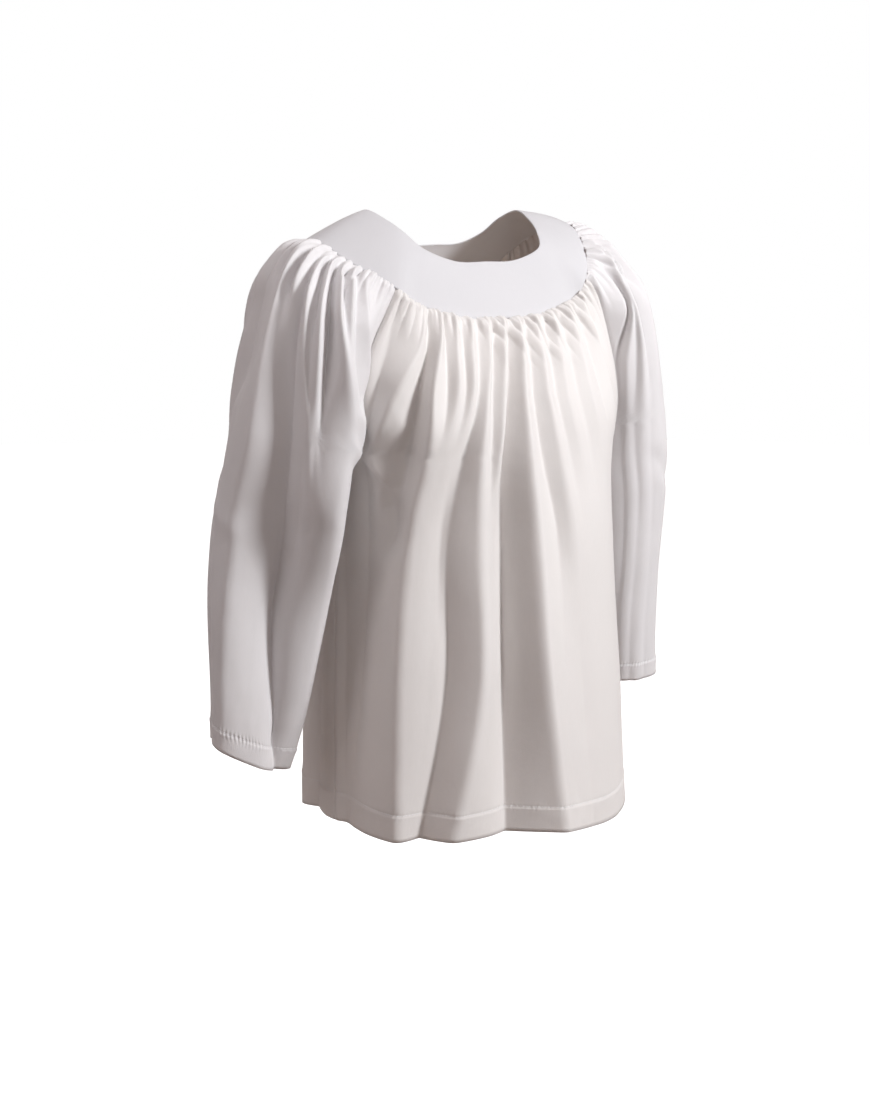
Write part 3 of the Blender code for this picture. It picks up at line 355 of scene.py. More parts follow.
RIGHT_SLEEVE_PLEATS = [
    (-90, -125, -175, -192, -150, -118, -98, 0, 0, 0, 0, -2.5, -4.5, -2),
    (-70, -121, -163, -180, -141, -111, -94, 5, 7.5, 8, 3, 0.5, -1, 0),
    (-63, -107, -135, -167, -131, -103, -90, -5, -2, 0, 5, 3.5, 3, 2),
    (-57, -100, -126, -155, -122, -96, -86, 5, 8, 11, 7.5, 6, 6, 4),
    (-51, -91, -120, -142, -113, -89, -82, -5, -4, 13, 10, 9, 9.5, 6.5),
    (-44, -85, -114, -130, -103, -81, -78, 5, 12, 14.5, 12.5, 12, 12.5, 8.5),
    (-40, -73, -97, -99, -92, -70, -76, -7, -14, -16, -11, 4, 3.5, 3.5),
    (-34, -66, -87, -90, -81, -58, -73, 5, 8, 6.5, -10.5, -4, -6, -1),
    (-28, -57, -74, -81, -70, -46, -70, -6, -10.5, -6.5, -10, -12, -16, -6.5),
    (-25, -48, -66, -74, -59, -35, -67, 3.5, 9, 3, -12.5, -20.5, -25.5, -11),
    (-19, -39, -47, -45, -31, -23, -65, -5, -7, -19, -26.5, -31, -35, -16),
    (-14, -29, -38, -35, -17, -5, -34, 5, 9, -9, -12.5, -15.5, -20, -8.5),
    (-6, -13, -29, -26, -3, 12, -4, -5, -8, 1, 1.5, 0, -4.5, -1),
    (2, -10, -20, -16, 12, 30, 27, 5, 9, 11, 16, 15.5, 11, 6.5),
    (13, 15, 10, 39, 50, 48, 39, -3.5, -9, -10.5, 1.5, 5.5, 5, 3),
    (15, 29, 47, 78, 68, 57, 47, 0, 0, -5, -2, 0, 0, 0),
    (17, 34, 60, 94, 78, 59, 49, -3.5, -6, -6.5, -4, -3.5, -2, -1),
    (32, 52, 80, 112, 96, 76, 56, 3.5, 7.5, 9.5, 10, 8.5, 6.5, 4),
    (47, 72, 100, 130, 116, 94, 72, -5, -7.5, -9.5, -10, -9.5, -9, -5),
    (62, 95, 125, 147, 138, 114, 90, 3.5, 7.5, 8, 5.5, 3.5, 3.5, 2),
    (78, 114, 150, 186, 166, 138, 108, 0, 0, 0, 0, 0, 0, 0),
]
LEFT_SLEEVE_PLEATS = [
    (-90, -125, -175, -205, -190, -165, -130, 0, 0, 0, 0, 0, 0, 0),
    (-79, -123, -171, -163, -163, -145, -124, -4.5, -7, -4, -1, -1, -1, -1),
    (-54, -121, -157, -159, -156, -138, -113, 5.5, 9.5, 7, 3, 2, 2, 2),
    (-45, -119, -143, -147, -144, -127, -101, -3.5, 2, 0.5, 0, -1, -0.5, -0.5),
    (-32, -116, -134, -135, -135, -112, -90, 4.5, 9.5, 7.5, 3, 2, 2, 2.5),
    (-22, -110, -123, -124, -122, -101, -78, -5.5, -13, -6, -1, -1, -1, -1),
    (4, -80, -103, -110, -105, -76, -48, 4.5, 4, 1.5, -0.5, 0, 0.5, 1),
    (6, -12, -10, -12, -14, -18, -20, -3.5, -6, -6, -3, -3, -4, -3.5),
    (8, 8, 20, 24, 22, 14, 8, 3.5, 6, 6, 3.5, 2.5, 2.5, 2.5),
    (10, 26, 48, 58, 54, 44, 34, -4.5, -6, -5, -3, -3.5, -4.5, -5),
    (12, 44, 74, 90, 86, 72, 58, 3.5, 6, 6, 3.5, 2.5, 2.5, 2.5),
    (24, 64, 98, 118, 112, 96, 78, -4.5, -6, -6, -3, -2.5, -3, -3),
    (40, 82, 120, 146, 136, 116, 94, 3.5, 5, 5, 2, 1, 1.5, 1),
    (70, 110, 160, 190, 175, 150, 120, 0, 0, 0, 0, 0, 0, 0),
]

# Drags and hollows between the pleats, placed in the same way.
# columns: place, down at the top, the middle and the bottom, width to each side, height, sharpness
FRONT_DRAGS = [
    (-238, 0.247, -199, 0.254, -165, 0.226, 16, 22, 3, 1.8),
    (-252, 0.296, -220, 0.322, -194, 0.368, 8, 14, 8, 1.5),
    (-214, 0.368, -194, 0.425, -222, 0.505, 20, 12, -10, 1.8),
]
BACK_DRAGS = [
    (-205, 0.24, -180, 0.36, -120, 0.44, 16, 18, 4, 1.8),
    (-215, 0.32, -170, 0.46, -90, 0.56, 14, 16, -4, 1.7),
    (205, 0.24, 176, 0.37, 124, 0.46, 16, 18, 4, 1.8),
]
RIGHT_SLEEVE_DRAGS = [
    (-150, 0.215, -160, 0.275, -140, 0.340, 16, 18, 9, 2.0),
    (62, 0.080, 66, 0.190, 62, 0.270, 34, 34, -10, 2.0),
    (-56, 0.888, -48, 0.953, -43, 1.000, 12, 14, -3, 2.0),
    (120, 0.35, 60, 0.44, 0, 0.50, 16, 18, 3, 1.8),
]
LEFT_SLEEVE_DRAGS = [
    (120, 0.36, 60, 0.46, 0, 0.53, 16, 18, 3, 1.8),
    (-130, 0.36, -90, 0.44, -50, 0.48, 14, 16, -3, 1.8),
]


def follow(table, at):
    """Smooth curve through a table's rows, read at places of its first column."""
    rows = np.asarray(table, float)
    place = rows[:, 0]
    value = rows[:, 1:]
    at = np.clip(np.asarray(at, float), place[0], place[-1])
    slope = np.empty_like(value)
    slope[1:-1] = (value[2:] - value[:-2]) / (place[2:] - place[:-2])[:, None]
    slope[0] = (value[1] - value[0]) / (place[1] - place[0])
    slope[-1] = (value[-1] - value[-2]) / (place[-1] - place[-2])
    low = np.clip(np.searchsorted(place, at, side="right") - 1, 0, len(place) - 2)
    step = (place[low + 1] - place[low])[..., None]
    t = (at - place[low])[..., None] / step
    start = (2 * t**3 - 3 * t**2 + 1) * value[low] + (t**3 - 2 * t**2 + t) * step * slope[low]
    end = (3 * t**2 - 2 * t**3) * value[low + 1] + (t**3 - t**2) * step * slope[low + 1]
    return start + end


def ease(x):
    """0 to 1 with flat ends."""
    x = np.clip(x, 0.0, 1.0)
    return x * x * (3.0 - 2.0 * x)


def unit(v):
    """Vectors of length 1."""
    return v / np.maximum(np.linalg.norm(v, axis=-1, keepdims=True), 1e-12)


def uneven(number, kind):
    """A fixed uneven value from 0 to 1 for each gather."""
    return np.modf(np.abs(np.sin(number * UNEVEN[0] + kind * UNEVEN[1])) * UNEVEN[2])[0]


def yoke_table():
    """The half table with one mirrored row past each end, so that the curves stay level there."""
    rows = np.asarray(YOKE_EDGES, float)
    flip = np.array([-1, -1, 1, 1, -1, 1, 1], float)
    before = rows[1] * flip
    after = rows[-2] * flip
    after[0] += 360.0
    return np.vstack([before, rows, after])


YOKE_TABLE = yoke_table()


def yoke_point(turn, across):
    """Point on the yoke: turn in degrees, across from 0 at the neck to 1 at the outer edge."""
    turn = (np.asarray(turn, float) + 180.0) % 360.0 - 180.0
    row = follow(YOKE_TABLE, np.abs(turn))
    sign = np.where(turn < 0.0, -1.0, 1.0)[..., None]
    side = sign * np.array([1.0, 0.0, 0.0]) + np.array([0.0, 1.0, 1.0])
    neck = row[..., :3] * side
    edge = row[..., 3:] * side
    across = np.asarray(across, float)[..., None]
    lift = unit(np.array([1.0, 1.0, 0.0]) * (edge - neck) + np.array([0.0, 0.0, YOKE_LIFT]))
    return neck + (edge - neck) * across + lift * 4.0 * across * (1.0 - across) * YOKE_ROUND


def yoke_normal(turn, across):
    """Outward direction of the yoke."""
    around = yoke_point(turn + TURN_PROBE, across) - yoke_point(turn - TURN_PROBE, across)
    away = yoke_point(turn, across + SHARE_PROBE) - yoke_point(turn, across - SHARE_PROBE)
    return unit(np.cross(away, around))


def seam_point(which, down):
    """Point on the left seam of the front or back panel."""
    if down < UNDERARM:
        return follow(FRONT_SEAM if which == "front" else BACK_SEAM, down)
    return follow(SIDE_SEAM, down)


def body_arc(which, down, u):
    """Section of a body panel, with u from -1 at the right seam to 1 at the left.

    The section is a squared oval round the side line, cut off where the seam crosses it.
    """
    middle_y, middle_z = follow(FRONT_MIDDLE if which == "front" else BACK_MIDDLE, down)
    seam_x, seam_y, seam_z = seam_point(which, down)
    side_y = follow(SIDE_SEAM, down)[1]
    front_square, back_square = follow(BODY_SECTIONS, down)
    square = front_square if which == "front" else back_square
    depth = middle_y - side_y
    behind = max(0.0, (seam_y - side_y) / depth)
    across = (1.0 - behind**square) ** (1.0 / square)
    half_width = seam_x / across
    wrap = math.atan2(across, behind)
    angle = u * wrap
    cos = np.abs(np.cos(angle))
    sin = np.abs(np.sin(angle))
    reach = (cos**square + sin**square) ** (-1.0 / square)
    x = half_width * np.sin(angle) * reach
    y = side_y + depth * cos * reach
    drop = LEFT_HEM_DROP * np.exp(-((x / HEM_DROP_AT - 1.0) ** 2)) * down**2
    z = middle_z + (seam_z - middle_z) * np.abs(u) ** SIDE_CURVE - drop
    return np.stack([x, y, z], axis=-1)


def body_line(which, down):
    """Line across a body panel, joined smoothly to the yoke's edge at the top."""
    u = np.linspace(-1.0, 1.0, LINE_POINTS)
    line = body_arc(which, down, u)
    keep = 1.0 - ease(down / YOKE_HOLD)
    if keep > 0.0:
        turn = u * FRONT_TURN if which == "front" else 180.0 - u * (180.0 - BACK_TURN)
        edge = yoke_point(turn, np.ones(LINE_POINTS))
        line = line + (edge - body_arc(which, 0.0, u)) * keep
    return line


def cap_arc(down, t):
    """Open section of the left sleeve above the underarm, with t from 1 in front to -1 behind."""
    front = seam_point("front", down)
    back = seam_point("back", down)
    row = follow(SLEEVE_CAP, down)
    outer = row[:3]
    ratio = min(1.0, np.linalg.norm(front - back) / 2.0 / row[3])
    wrap = math.pi - math.asin(ratio)
    out = (outer - (front + back) / 2.0) / (1.0 - math.cos(wrap))
    forward = (front - back) / (2.0 * math.sin(wrap))
    angle = (t * wrap)[:, None]
    return outer - out + out * np.cos(angle) + forward * np.sin(angle)


def ring_arc(which, down, t):
    """Closed section of a sleeve below the underarm, written for the wearer's left."""
    row = follow(RIGHT_SLEEVE_RINGS if which == "right_sleeve" else LEFT_SLEEVE_RINGS, down)
    square = 2.0 + (SLEEVE_SQUARENESS - 2.0) * ease((down - UNDERARM) / SLEEVE_SQUARED)
    angle = (t * math.pi)[:, None]
    cos = np.cos(angle)
    sin = np.sin(angle)
    reach = (np.abs(cos) ** square + np.abs(sin) ** square) ** (-1.0 / square)
    return row[:3] + (row[3:6] * cos + row[6:] * sin) * reach


def sleeve_line(which, down):
    """Line round a sleeve, from the front seam over its outer side to the back seam."""
    t = np.linspace(1.0, -1.0, LINE_POINTS)
    if down >= UNDERARM:
        return ring_arc(which, down, t)
    line = cap_arc(down, t)
    keep = 1.0 - ease(down / YOKE_HOLD)
    if keep > 0.0:
        turn = FRONT_TURN + (1.0 - t) / 2.0 * (BACK_TURN - FRONT_TURN)
        edge = yoke_point(turn, np.ones(LINE_POINTS))
        line = line + (edge - cap_arc(0.0, t)) * keep
    return line


def run_along(line):
    """Length along a line up to each of its points."""
    return np.concatenate([[0.0], np.cumsum(np.linalg.norm(np.diff(line, axis=0), axis=1))])


def read_line(line, run, where):
    """Points of a line at places along its run."""
    return np.stack([np.interp(where, run, value) for value in line.T], axis=-1)


def spread(line, across):
    """Points along a line at even shares of its length, and that length."""
    run = run_along(line)
    return read_line(line, run, across * run[-1]), run[-1]


def facing(panel, ahead, below):
    """Outward directions from the directions across and down a panel."""
    return unit(np.cross(ahead, below) if panel == "back" else np.cross(below, ahead))


def row_outward(panel, down, across):
    """Outward directions of the unfolded cloth at places along one row of a panel."""
    line_of = sleeve_line if "sleeve" in panel else body_line
    here = line_of(panel, down)
    above = spread(line_of(panel, max(0.0, down - PROBE)), across)[0]
    below = spread(line_of(panel, min(1.0, down + PROBE)), across)[0]
    ahead = spread(here, np.clip(across + PROBE, 0.0, 1.0))[0]
    behind = spread(here, np.clip(across - PROBE, 0.0, 1.0))[0]
    return facing(panel, ahead - behind, below - above)


def sway(points):
    """The left shoulder stands a little higher than the right."""
    points = np.array(points)
    outwards = ease((np.abs(points[..., 0]) - SWAY_FROM) / SWAY_WIDTH)
    upwards = ease((points[..., 2] - SWAY_BELOW) / SWAY_HEIGHT)
    points[..., 2] += np.sign(points[..., 0]) * SHOULDER_SWAY * outwards * upwards
    return points


def seam_inward(which, down):
    """Inward direction at a seam on the wearer's left, shared by the pieces that meet there."""
    if down >= UNDERARM:
        return np.array([-1.0, 0.0, 0.0])
    body_out = row_outward(which, down, np.array([1.0]))
    sleeve_out = row_outward("left_sleeve", down, np.array([0.0 if which == "front" else 1.0]))
    return -unit(body_out[0] + sleeve_out[0])


def lattice(column, row, kind):
    """Fixed uneven values from -1 to 1 at the corners of a grid, in a pattern for each kind."""
    swing = np.sin(column * LATTICE[0] + row * LATTICE[1] + kind * LATTICE[2])
    return 2.0 * np.modf(np.abs(swing) * LATTICE[3])[0] - 1.0


def ripple(x, y, kind):
    """Smooth uneven value from about -1 to 1, with one swell for each step of x and of y."""
    column = np.floor(x)
    row = np.floor(y)
    s = ease(x - column)
    t = ease(y - row)
    top = lattice(column, row, kind) * (1 - s) + lattice(column + 1, row, kind) * s
    low = lattice(column, row + 1, kind) * (1 - s) + lattice(column + 1, row + 1, kind) * s
    return top * (1 - t) + low * t


def gather_wave(across, down, count, kind, reach):
    """One family of gathers, each with its own strength and length, from 0 to about 1."""
    wander = GATHER_WANDER * ripple(across * count * WANDER_ACROSS, down * WANDER_DOWN, kind + 5.0)
    place = across * count + wander * np.sin(math.pi * across)
    cell = np.clip(np.floor(place), 0, count - 1)
    phase = np.clip(place - cell, 0.0, 1.0)
    strength = GATHER_LEAST + GATHER_SPREAD * uneven(cell, kind)
    length = reach * (REACH_LEAST + uneven(cell, kind + 1.7))
    return strength * np.sin(math.pi * phase) ** GATHER_SHARPNESS * (1.0 - ease(down / length))


def gather_relief(across, down, count, kind):
    """Height of the gathers: fine puckers at the stitches that merge into broad pleats."""
    fine = FINE_HEIGHT * gather_wave(across, down, 2 * count, kind + 0.3, FINE_REACH)
    main = MAIN_HEIGHT * gather_wave(across, down, count, kind, MAIN_REACH)
    return fine + main * (AT_SEAM + (1.0 - AT_SEAM) * ease(down / GATHER_GROWN))


def pleat_relief(pleats, place, downs):
    """Height of the pleats: straight from line to line, with crests rounder than the troughs."""
    table = np.asarray(pleats, float) / 1000.0
    levels = np.column_stack([PLEAT_DOWNS, table.T[:len(PLEAT_DOWNS)], table.T[len(PLEAT_DOWNS):]])
    offsets = np.linspace(-1.0, 1.0, ROUNDING_STEPS)
    relief = np.empty(place.shape)
    for r, down in enumerate(downs):
        row = follow(levels, down)
        line = np.maximum.accumulate(row[:len(table)])
        rise = row[len(table):] * (AT_SEAM + (1.0 - AT_SEAM) * ease(down / PLEAT_GROWN))
        width = CREST_ROUNDING * (CREST_AT_SEAM + (1.0 - CREST_AT_SEAM) * ease(down / CREST_GROWN))
        crisp = np.mean([np.interp(place[r] + TROUGH_ROUNDING * o, line, rise) for o in offsets], axis=0)
        rounded = np.mean([np.interp(place[r] + width * o, line, rise) for o in offsets], axis=0)
        relief[r] = np.minimum(crisp, rounded)
    return relief


def bent(start, middle, end):
    """Values along a curved path through three of them."""
    t = np.linspace(0.0, 1.0, FOLD_POINTS)
    bend = 2.0 * middle - (start + end) / 2.0
    return (1 - t) ** 2 * start + 2 * t * (1 - t) * bend + t**2 * end


def fold_relief(drags, place, down):
    """Height of the drags and hollows along their curved paths; place is in metres from the middle."""
    height = np.zeros(place.size)
    here = np.stack([place.ravel(), down.ravel() * DOWN_LENGTH], axis=-1)
    for p0, d0, p1, d1, p2, d2, left, right, rise, sharp in drags:
        path = np.stack([bent(p0, p1, p2) / 1000.0, bent(d0, d1, d2) * DOWN_LENGTH], axis=-1)
        margin = FOLD_MARGIN * max(left, right) / 1000.0
        near = np.all((here > path.min(axis=0) - margin) & (here < path.max(axis=0) + margin), axis=1)
        spot = here[near]
        nearest = np.full(len(spot), np.inf)
        along = np.zeros(len(spot))
        side = np.zeros(len(spot))
        for i in range(FOLD_POINTS - 1):
            run = path[i + 1] - path[i]
            share = np.clip(((spot - path[i]) @ run) / float(run @ run), 0.0, 1.0)
            gap = spot - path[i] - share[:, None] * run
            distance = np.hypot(gap[:, 0], gap[:, 1])
            closer = distance < nearest
            nearest = np.where(closer, distance, nearest)
            along = np.where(closer, (i + share) / (FOLD_POINTS - 1), along)
            side = np.where(closer, gap[:, 0] * run[1] - gap[:, 1] * run[0], side)
        width = np.where(side < 0.0, left, right) / 1000.0
        fade = ease(along / FOLD_STARTS) * (1.0 if d2 == 1.0 else ease((1.0 - along) / FOLD_ENDS))
        height[near] += rise / 1000.0 * fade * np.exp(-((nearest / width) ** sharp))
    return height.reshape(place.shape)


def soft_crumple(across, down, kind):
    """Slight unevenness of pressed cloth, longer down than across."""
    return sum(height * ripple(across * swells, down * rows, kind + shift)
               for height, swells, rows, shift in CRUMPLE)


def hem_relief(run, down, kind):
    """The turned-up hem: the doubled cloth, a stitched groove and the puckers along it."""
    away = (down - HEM_AT) * DOWN_LENGTH
    marks = run / PUCKER_PITCH
    wander = PUCKER_WANDER * ripple(marks * PUCKER_DRIFT[0], away * PUCKER_DRIFT[1], kind)
    pucker = np.sin(2 * math.pi * (marks + away * PUCKER_SLANT + wander))
    strength = PUCKER_LEAST + PUCKER_SPREAD * ripple(marks * PUCKER_FADES, np.zeros_like(away), kind + 3.0)
    puckers = PUCKER_HEIGHT * strength * pucker * np.exp(-((away / PUCKER_REACH) ** 2))
    groove = -GROOVE_DEPTH * np.exp(-((away / GROOVE_WIDTH) ** 2))
    doubled = DOUBLED_HEIGHT * ease((away - DOUBLED_FROM) / DOUBLED_WIDTH)
    near = ease(1.0 - np.abs(away) / WAVE_REACH)
    waves = WAVE_HEIGHT * ripple(run / WAVE_LENGTH, away * WAVE_TURN, kind + 6.0) * near
    return puckers + groove + doubled + waves


def downs_from(steps):
    """The rows that a list of steps stands for."""
    rows = [0.0]
    for end, count in steps:
        rows.extend(np.linspace(rows[-1], end, count + 1)[1:])
    return np.array(rows)


def eased_rows(grid, downs, lengths, across):
    """Rows of a sleeve that run smoothly past the underarm, with the seams left in place."""
    places = (across - 0.5) * lengths[:, None]
    edge = np.minimum(across, 1.0 - across) * lengths[:, None]
    nearby = np.exp(-(((downs - UNDERARM) / EASED_REACH) ** 2))[:, None]
    share = 0.5 * ease(edge / EASED_EDGE) * nearby
    rows = [r for r in np.nonzero(nearby[:, 0] > EASED_LEAST)[0] if 0 < r < len(downs) - 1]
    for _ in range(EASED_PASSES):
        before = grid.copy()
        for r in rows:
            pull = -2.0 * before[r]
            for near in (r - 1, r + 1):
                pull += read_line(before[near], places[near], places[r])
            grid[r] += share[r][:, None] * pull
    return grid


def panel_grid(panel, pleats, drags, kind, downs, columns):
    """Folded points of a panel, its flat places and its closed rows; sleeves are made on the left."""
    across = np.linspace(0.0, 1.0, columns + 1)
    line_of = sleeve_line if "sleeve" in panel else body_line
    rows = [spread(line_of(panel, d), across) for d in downs]
    grid = np.array([row[0] for row in rows])
    lengths = np.array([row[1] for row in rows])
    sleeve = "sleeve" in panel
    if sleeve:
        grid = eased_rows(grid, downs, lengths, across)
    outward = facing(panel, np.gradient(grid, axis=1), np.gradient(grid, axis=0))
    closed = sleeve & (downs >= UNDERARM)
    for r, down in enumerate(downs):
        if closed[r]:
            outward[r, [0, -1]] = unit(outward[r, 0] + outward[r, -1])
        elif sleeve:
            outward[r, 0] = -seam_inward("front", down)
            outward[r, -1] = -seam_inward("back", down)
        else:
            outward[r, -1] = -seam_inward(panel, down)
            outward[r, 0] = outward[r, -1] * MIRROR
    a = np.broadcast_to(across, (len(downs), columns + 1)).copy()
    d = np.broadcast_to(downs[:, None], a.shape).copy()
    length = lengths[:, None]
    place = (a - 0.5) * length
    edge = np.minimum(a, 1.0 - a) * length
    if sleeve:
        for r in np.nonzero(~closed)[0][::3]:
            aside = lengths[r] / 2.0 - np.abs(place)
            edge = np.minimum(edge, np.hypot(aside, (d - downs[r]) * DOWN_LENGTH))
    calm_width = SEAM_CALM + UNDERARM_CALM * ease((downs[:, None] - CALM_FROM) / CALM_GROWS) * sleeve
    folds = pleat_relief(pleats, place, downs) + fold_relief(drags, place, d) + soft_crumple(a, d, kind)
    relief = gather_relief(a, d, SLEEVE_GATHERS if sleeve else BODY_GATHERS, kind) * ease(edge / GATHER_EDGE)
    relief += folds * ease(edge / calm_width)
    relief += hem_relief(a * length, d, kind)
    relief -= SEAM_DIP * np.exp(-((edge / SEAM_DIP_WIDTH) ** 2))
    relief -= YOKE_DIP * (1.0 - ease(d * DOWN_LENGTH / YOKE_DIP_REACH))
    if sleeve:
        relief[closed, -1] = relief[closed, 0]
    tuck = YOKE_DIP * ease(1.0 - d * DOWN_LENGTH / TUCK_REACH)
    points = grid + outward * relief[..., None] + unit(grid[0] - grid[2])[None] * tuck[..., None]
    return points, np.stack([0.5 + place, 1.0 - d * DOWN_LENGTH], axis=-1), closed


def corners_of(number):
    """The four corners of each cell in a grid of numbers."""
    quads = np.stack([number[:-1, :-1], number[1:, :-1], number[1:, 1:], number[:-1, 1:]], axis=-1)
    return quads.reshape(-1, 4)


def add_object(name, mesh):
    """A new object in the scene."""
    piece = bpy.data.objects.new(name, mesh)
    bpy.context.scene.collection.objects.link(piece)
    return piece


def cloth_mesh(name, points, places, closed, thickness, hem_rows, hem_thickness, flip):
    """A sheet as a named object: quads over the grid, given its thickness and smoothed."""
    rows, columns = points.shape[:2]
    number = np.arange(rows * columns).reshape(rows, columns)
    uv_of = corners_of(number)
    number[closed, -1] = number[closed, 0]
    quads = corners_of(number)
    if flip:
        quads = quads[:, ::-1]
        uv_of = uv_of[:, ::-1]
    used = np.unique(quads)
    renumber = np.full(rows * columns, -1)
    renumber[used] = np.arange(len(used))
    mesh = bpy.data.meshes.new(name)
    mesh.from_pydata(points.reshape(-1, 3)[used].tolist(), [], renumber[quads].tolist())
    layer = mesh.uv_layers.new(name="cloth")
    layer.data.foreach_set("uv", places.reshape(-1, 2)[uv_of.reshape(-1)].ravel())
    mesh.update()
    piece = add_object(name, mesh)
    doubled = piece.vertex_groups.new(name="doubled")
    in_hem = (used // columns) >= rows - hem_rows
    doubled.add([int(v) for v in np.nonzero(in_hem)[0]], 1.0, "REPLACE")
    bpy.ops.object.select_all(action="DESELECT")
    piece.select_set(True)
    bpy.context.view_layer.objects.active = piece
    wall = piece.modifiers.new("wall", "SOLIDIFY")
    wall.thickness = hem_thickness
    wall.offset = -1.0
    wall.vertex_group = "doubled"
    wall.thickness_vertex_group = thickness / hem_thickness
    bpy.ops.object.modifier_apply(modifier="wall")
    bpy.ops.object.shade_smooth()
    return piece


# Finishes and stitches
MAIN_SHADER = "Principled BSDF"
SHEERNESS = 0.13
YOKE_DEEP = (0.675, 0.675, 0.70)
STITCH_PITCH = 0.0040
STITCH_LENGTH = 0.0030
STITCH_RADIUS = 0.00036
STITCH_LIFT = 0.4
STITCH_SIDES = 6
# columns: place along a stitch, width there
STITCH_SHAPE = [(-1.0, 0.2), (-0.7, 0.85), (0.0, 1.0), (0.7, 0.85), (1.0, 0.2)]


def feed(node, inputs):
    """Sets a node's inputs, each a plain value or another node's output, and gives its outputs."""
    for socket, value in inputs.items():
        if isinstance(value, bpy.types.NodeSocket):
            node.id_data.links.new(value, node.inputs[socket])
        else:
            node.inputs[socket].default_value = value
    return node.outputs


def new_node(tree, kind, inputs, **settings):
    """Outputs of a new shader node with the given inputs and settings."""
    node = tree.nodes.new("ShaderNode" + kind)
    for name, value in settings.items():
        setattr(node, name, value)
    return feed(node, inputs)


def new_finish(name):
    """A material and its node tree."""
    material = bpy.data.materials.new(name)
    material.use_nodes = True
    return material, material.node_tree


def poplin(name, colour, deep):
    """White poplin: fine plain weave, faint slubs and the slight unevenness of pressed cotton."""
    material, tree = new_finish(name)
    place = new_node(tree, "TexCoord", {})
    threads = new_node(tree, "Mapping", {"Vector": place["UV"], "Scale": (1.0, 0.06, 1.0)})
    slubs = new_node(tree, "TexNoise", {"Vector": threads["Vector"], "Scale": 900.0, "Detail": 2.0})
    clouds = new_node(tree, "TexNoise", {"Vector": place["Object"], "Scale": 14.0, "Detail": 3.0})
    both = new_node(tree, "Math", {0: slubs["Fac"], 1: clouds["Fac"]}, operation="ADD")
    share = new_node(tree, "Math", {0: both[0], 1: 0.5, 2: 0.25}, operation="MULTIPLY_ADD")
    tone = new_node(tree, "Mix", {
        "Factor": share[0], "A": (*deep, 1.0), "B": (*colour, 1.0)}, data_type="RGBA")
    warp, weft = [new_node(tree, "TexWave", {
        "Vector": place["UV"], "Scale": 620.0, "Distortion": 0.6}, bands_direction=way) for way in "XY"]
    weave = new_node(tree, "Math", {0: warp["Fac"], 1: weft["Fac"]}, operation="MAXIMUM")
    crease = new_node(tree, "TexNoise", {"Vector": place["Object"], "Scale": 70.0, "Detail": 2.0})
    soft = new_node(tree, "Bump", {"Height": crease["Fac"], "Strength": 0.4, "Distance": 0.0008})
    grain = new_node(tree, "Bump", {
        "Height": weave[0], "Normal": soft["Normal"], "Strength": 0.6, "Distance": 0.0001})
    cotton = feed(tree.nodes[MAIN_SHADER], {
        "Base Color": tone["Result"], "Normal": grain["Normal"], "Roughness": 0.62, "Sheen Weight": 0.18,
        "Sheen Roughness": 0.45, "Specular IOR Level": 0.28})
    sheer = new_node(tree, "BsdfTranslucent", {"Color": (0.95, 0.78, 0.66, 1.0)})
    blend = new_node(tree, "MixShader", {"Fac": SHEERNESS, 1: cotton["BSDF"], 2: sheer["BSDF"]})
    feed(tree.nodes["Material Output"], {"Surface": blend["Shader"]})
    return material


def thread_finish():
    """White sewing thread, with its twist."""
    material, tree = new_finish("white_thread")
    twist = new_node(tree, "TexWave", {
        "Vector": new_node(tree, "TexCoord", {})["Object"], "Scale": 900.0, "Distortion": 0.5},
        bands_direction="DIAGONAL")
    bump = new_node(tree, "Bump", {"Height": twist["Fac"], "Strength": 0.4, "Distance": 0.0001})
    feed(tree.nodes[MAIN_SHADER], {
        "Base Color": (0.86, 0.85, 0.85, 1.0), "Normal": bump["Normal"], "Roughness": 0.5,
        "Sheen Weight": 0.2})
    return material


def pale(name, colour):
    """Plain matt finish of the studio floor, slightly lit from within."""
    material, tree = new_finish(name)
    feed(tree.nodes[MAIN_SHADER], {
        "Base Color": (*colour, 1.0), "Emission Color": (*colour, 1.0), "Emission Strength": 1.15,
        "Roughness": 0.9, "Specular IOR Level": 0.1})
    return material


# Lines of the hem stitching, kept while the panels are made
SEWN = {}


def keep_hem(name, points, downs):
    """Keeps the line of a hem's stitching and the line just above it."""
    row = int(np.argmin(np.abs(downs - HEM_AT)))
    SEWN[name] = (points[row], points[row - 2])


def dress(piece, node, material):
    """Gives a sheet its finish and its place in the frame."""
    piece.data.materials.append(material)
    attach(piece, "root")
    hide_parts(node)


class SurpliceSettings(bpy.types.PropertyGroup):
    """Sizes and colours of the surplice."""

    cloth: FloatProperty(
        name="Cloth", description="Thickness of the single cloth", default=0.0009, unit="LENGTH")
    hem: FloatProperty(
        name="Hem", description="Thickness of the turned-up hems", default=0.0017, unit="LENGTH")
    yoke: FloatProperty(
        name="Yoke", description="Thickness of the doubled yoke", default=0.0016, unit="LENGTH")
    yoke_white: FloatVectorProperty(
        name="Yoke white", description="Colour of the yoke", subtype="COLOR", default=(0.715, 0.715, 0.74))
    body_white: FloatVectorProperty(
        name="Body white", description="Colour of the panels", subtype="COLOR", default=(0.85, 0.83, 0.82))
    sleeve_white: FloatVectorProperty(
        name="Sleeve white", description="Colour of the sleeves", subtype="COLOR",
        default=(0.84, 0.83, 0.845))
    floor_tone: FloatVectorProperty(
        name="Floor", description="Colour of the floor", subtype="COLOR", default=(0.86, 0.86, 0.86))


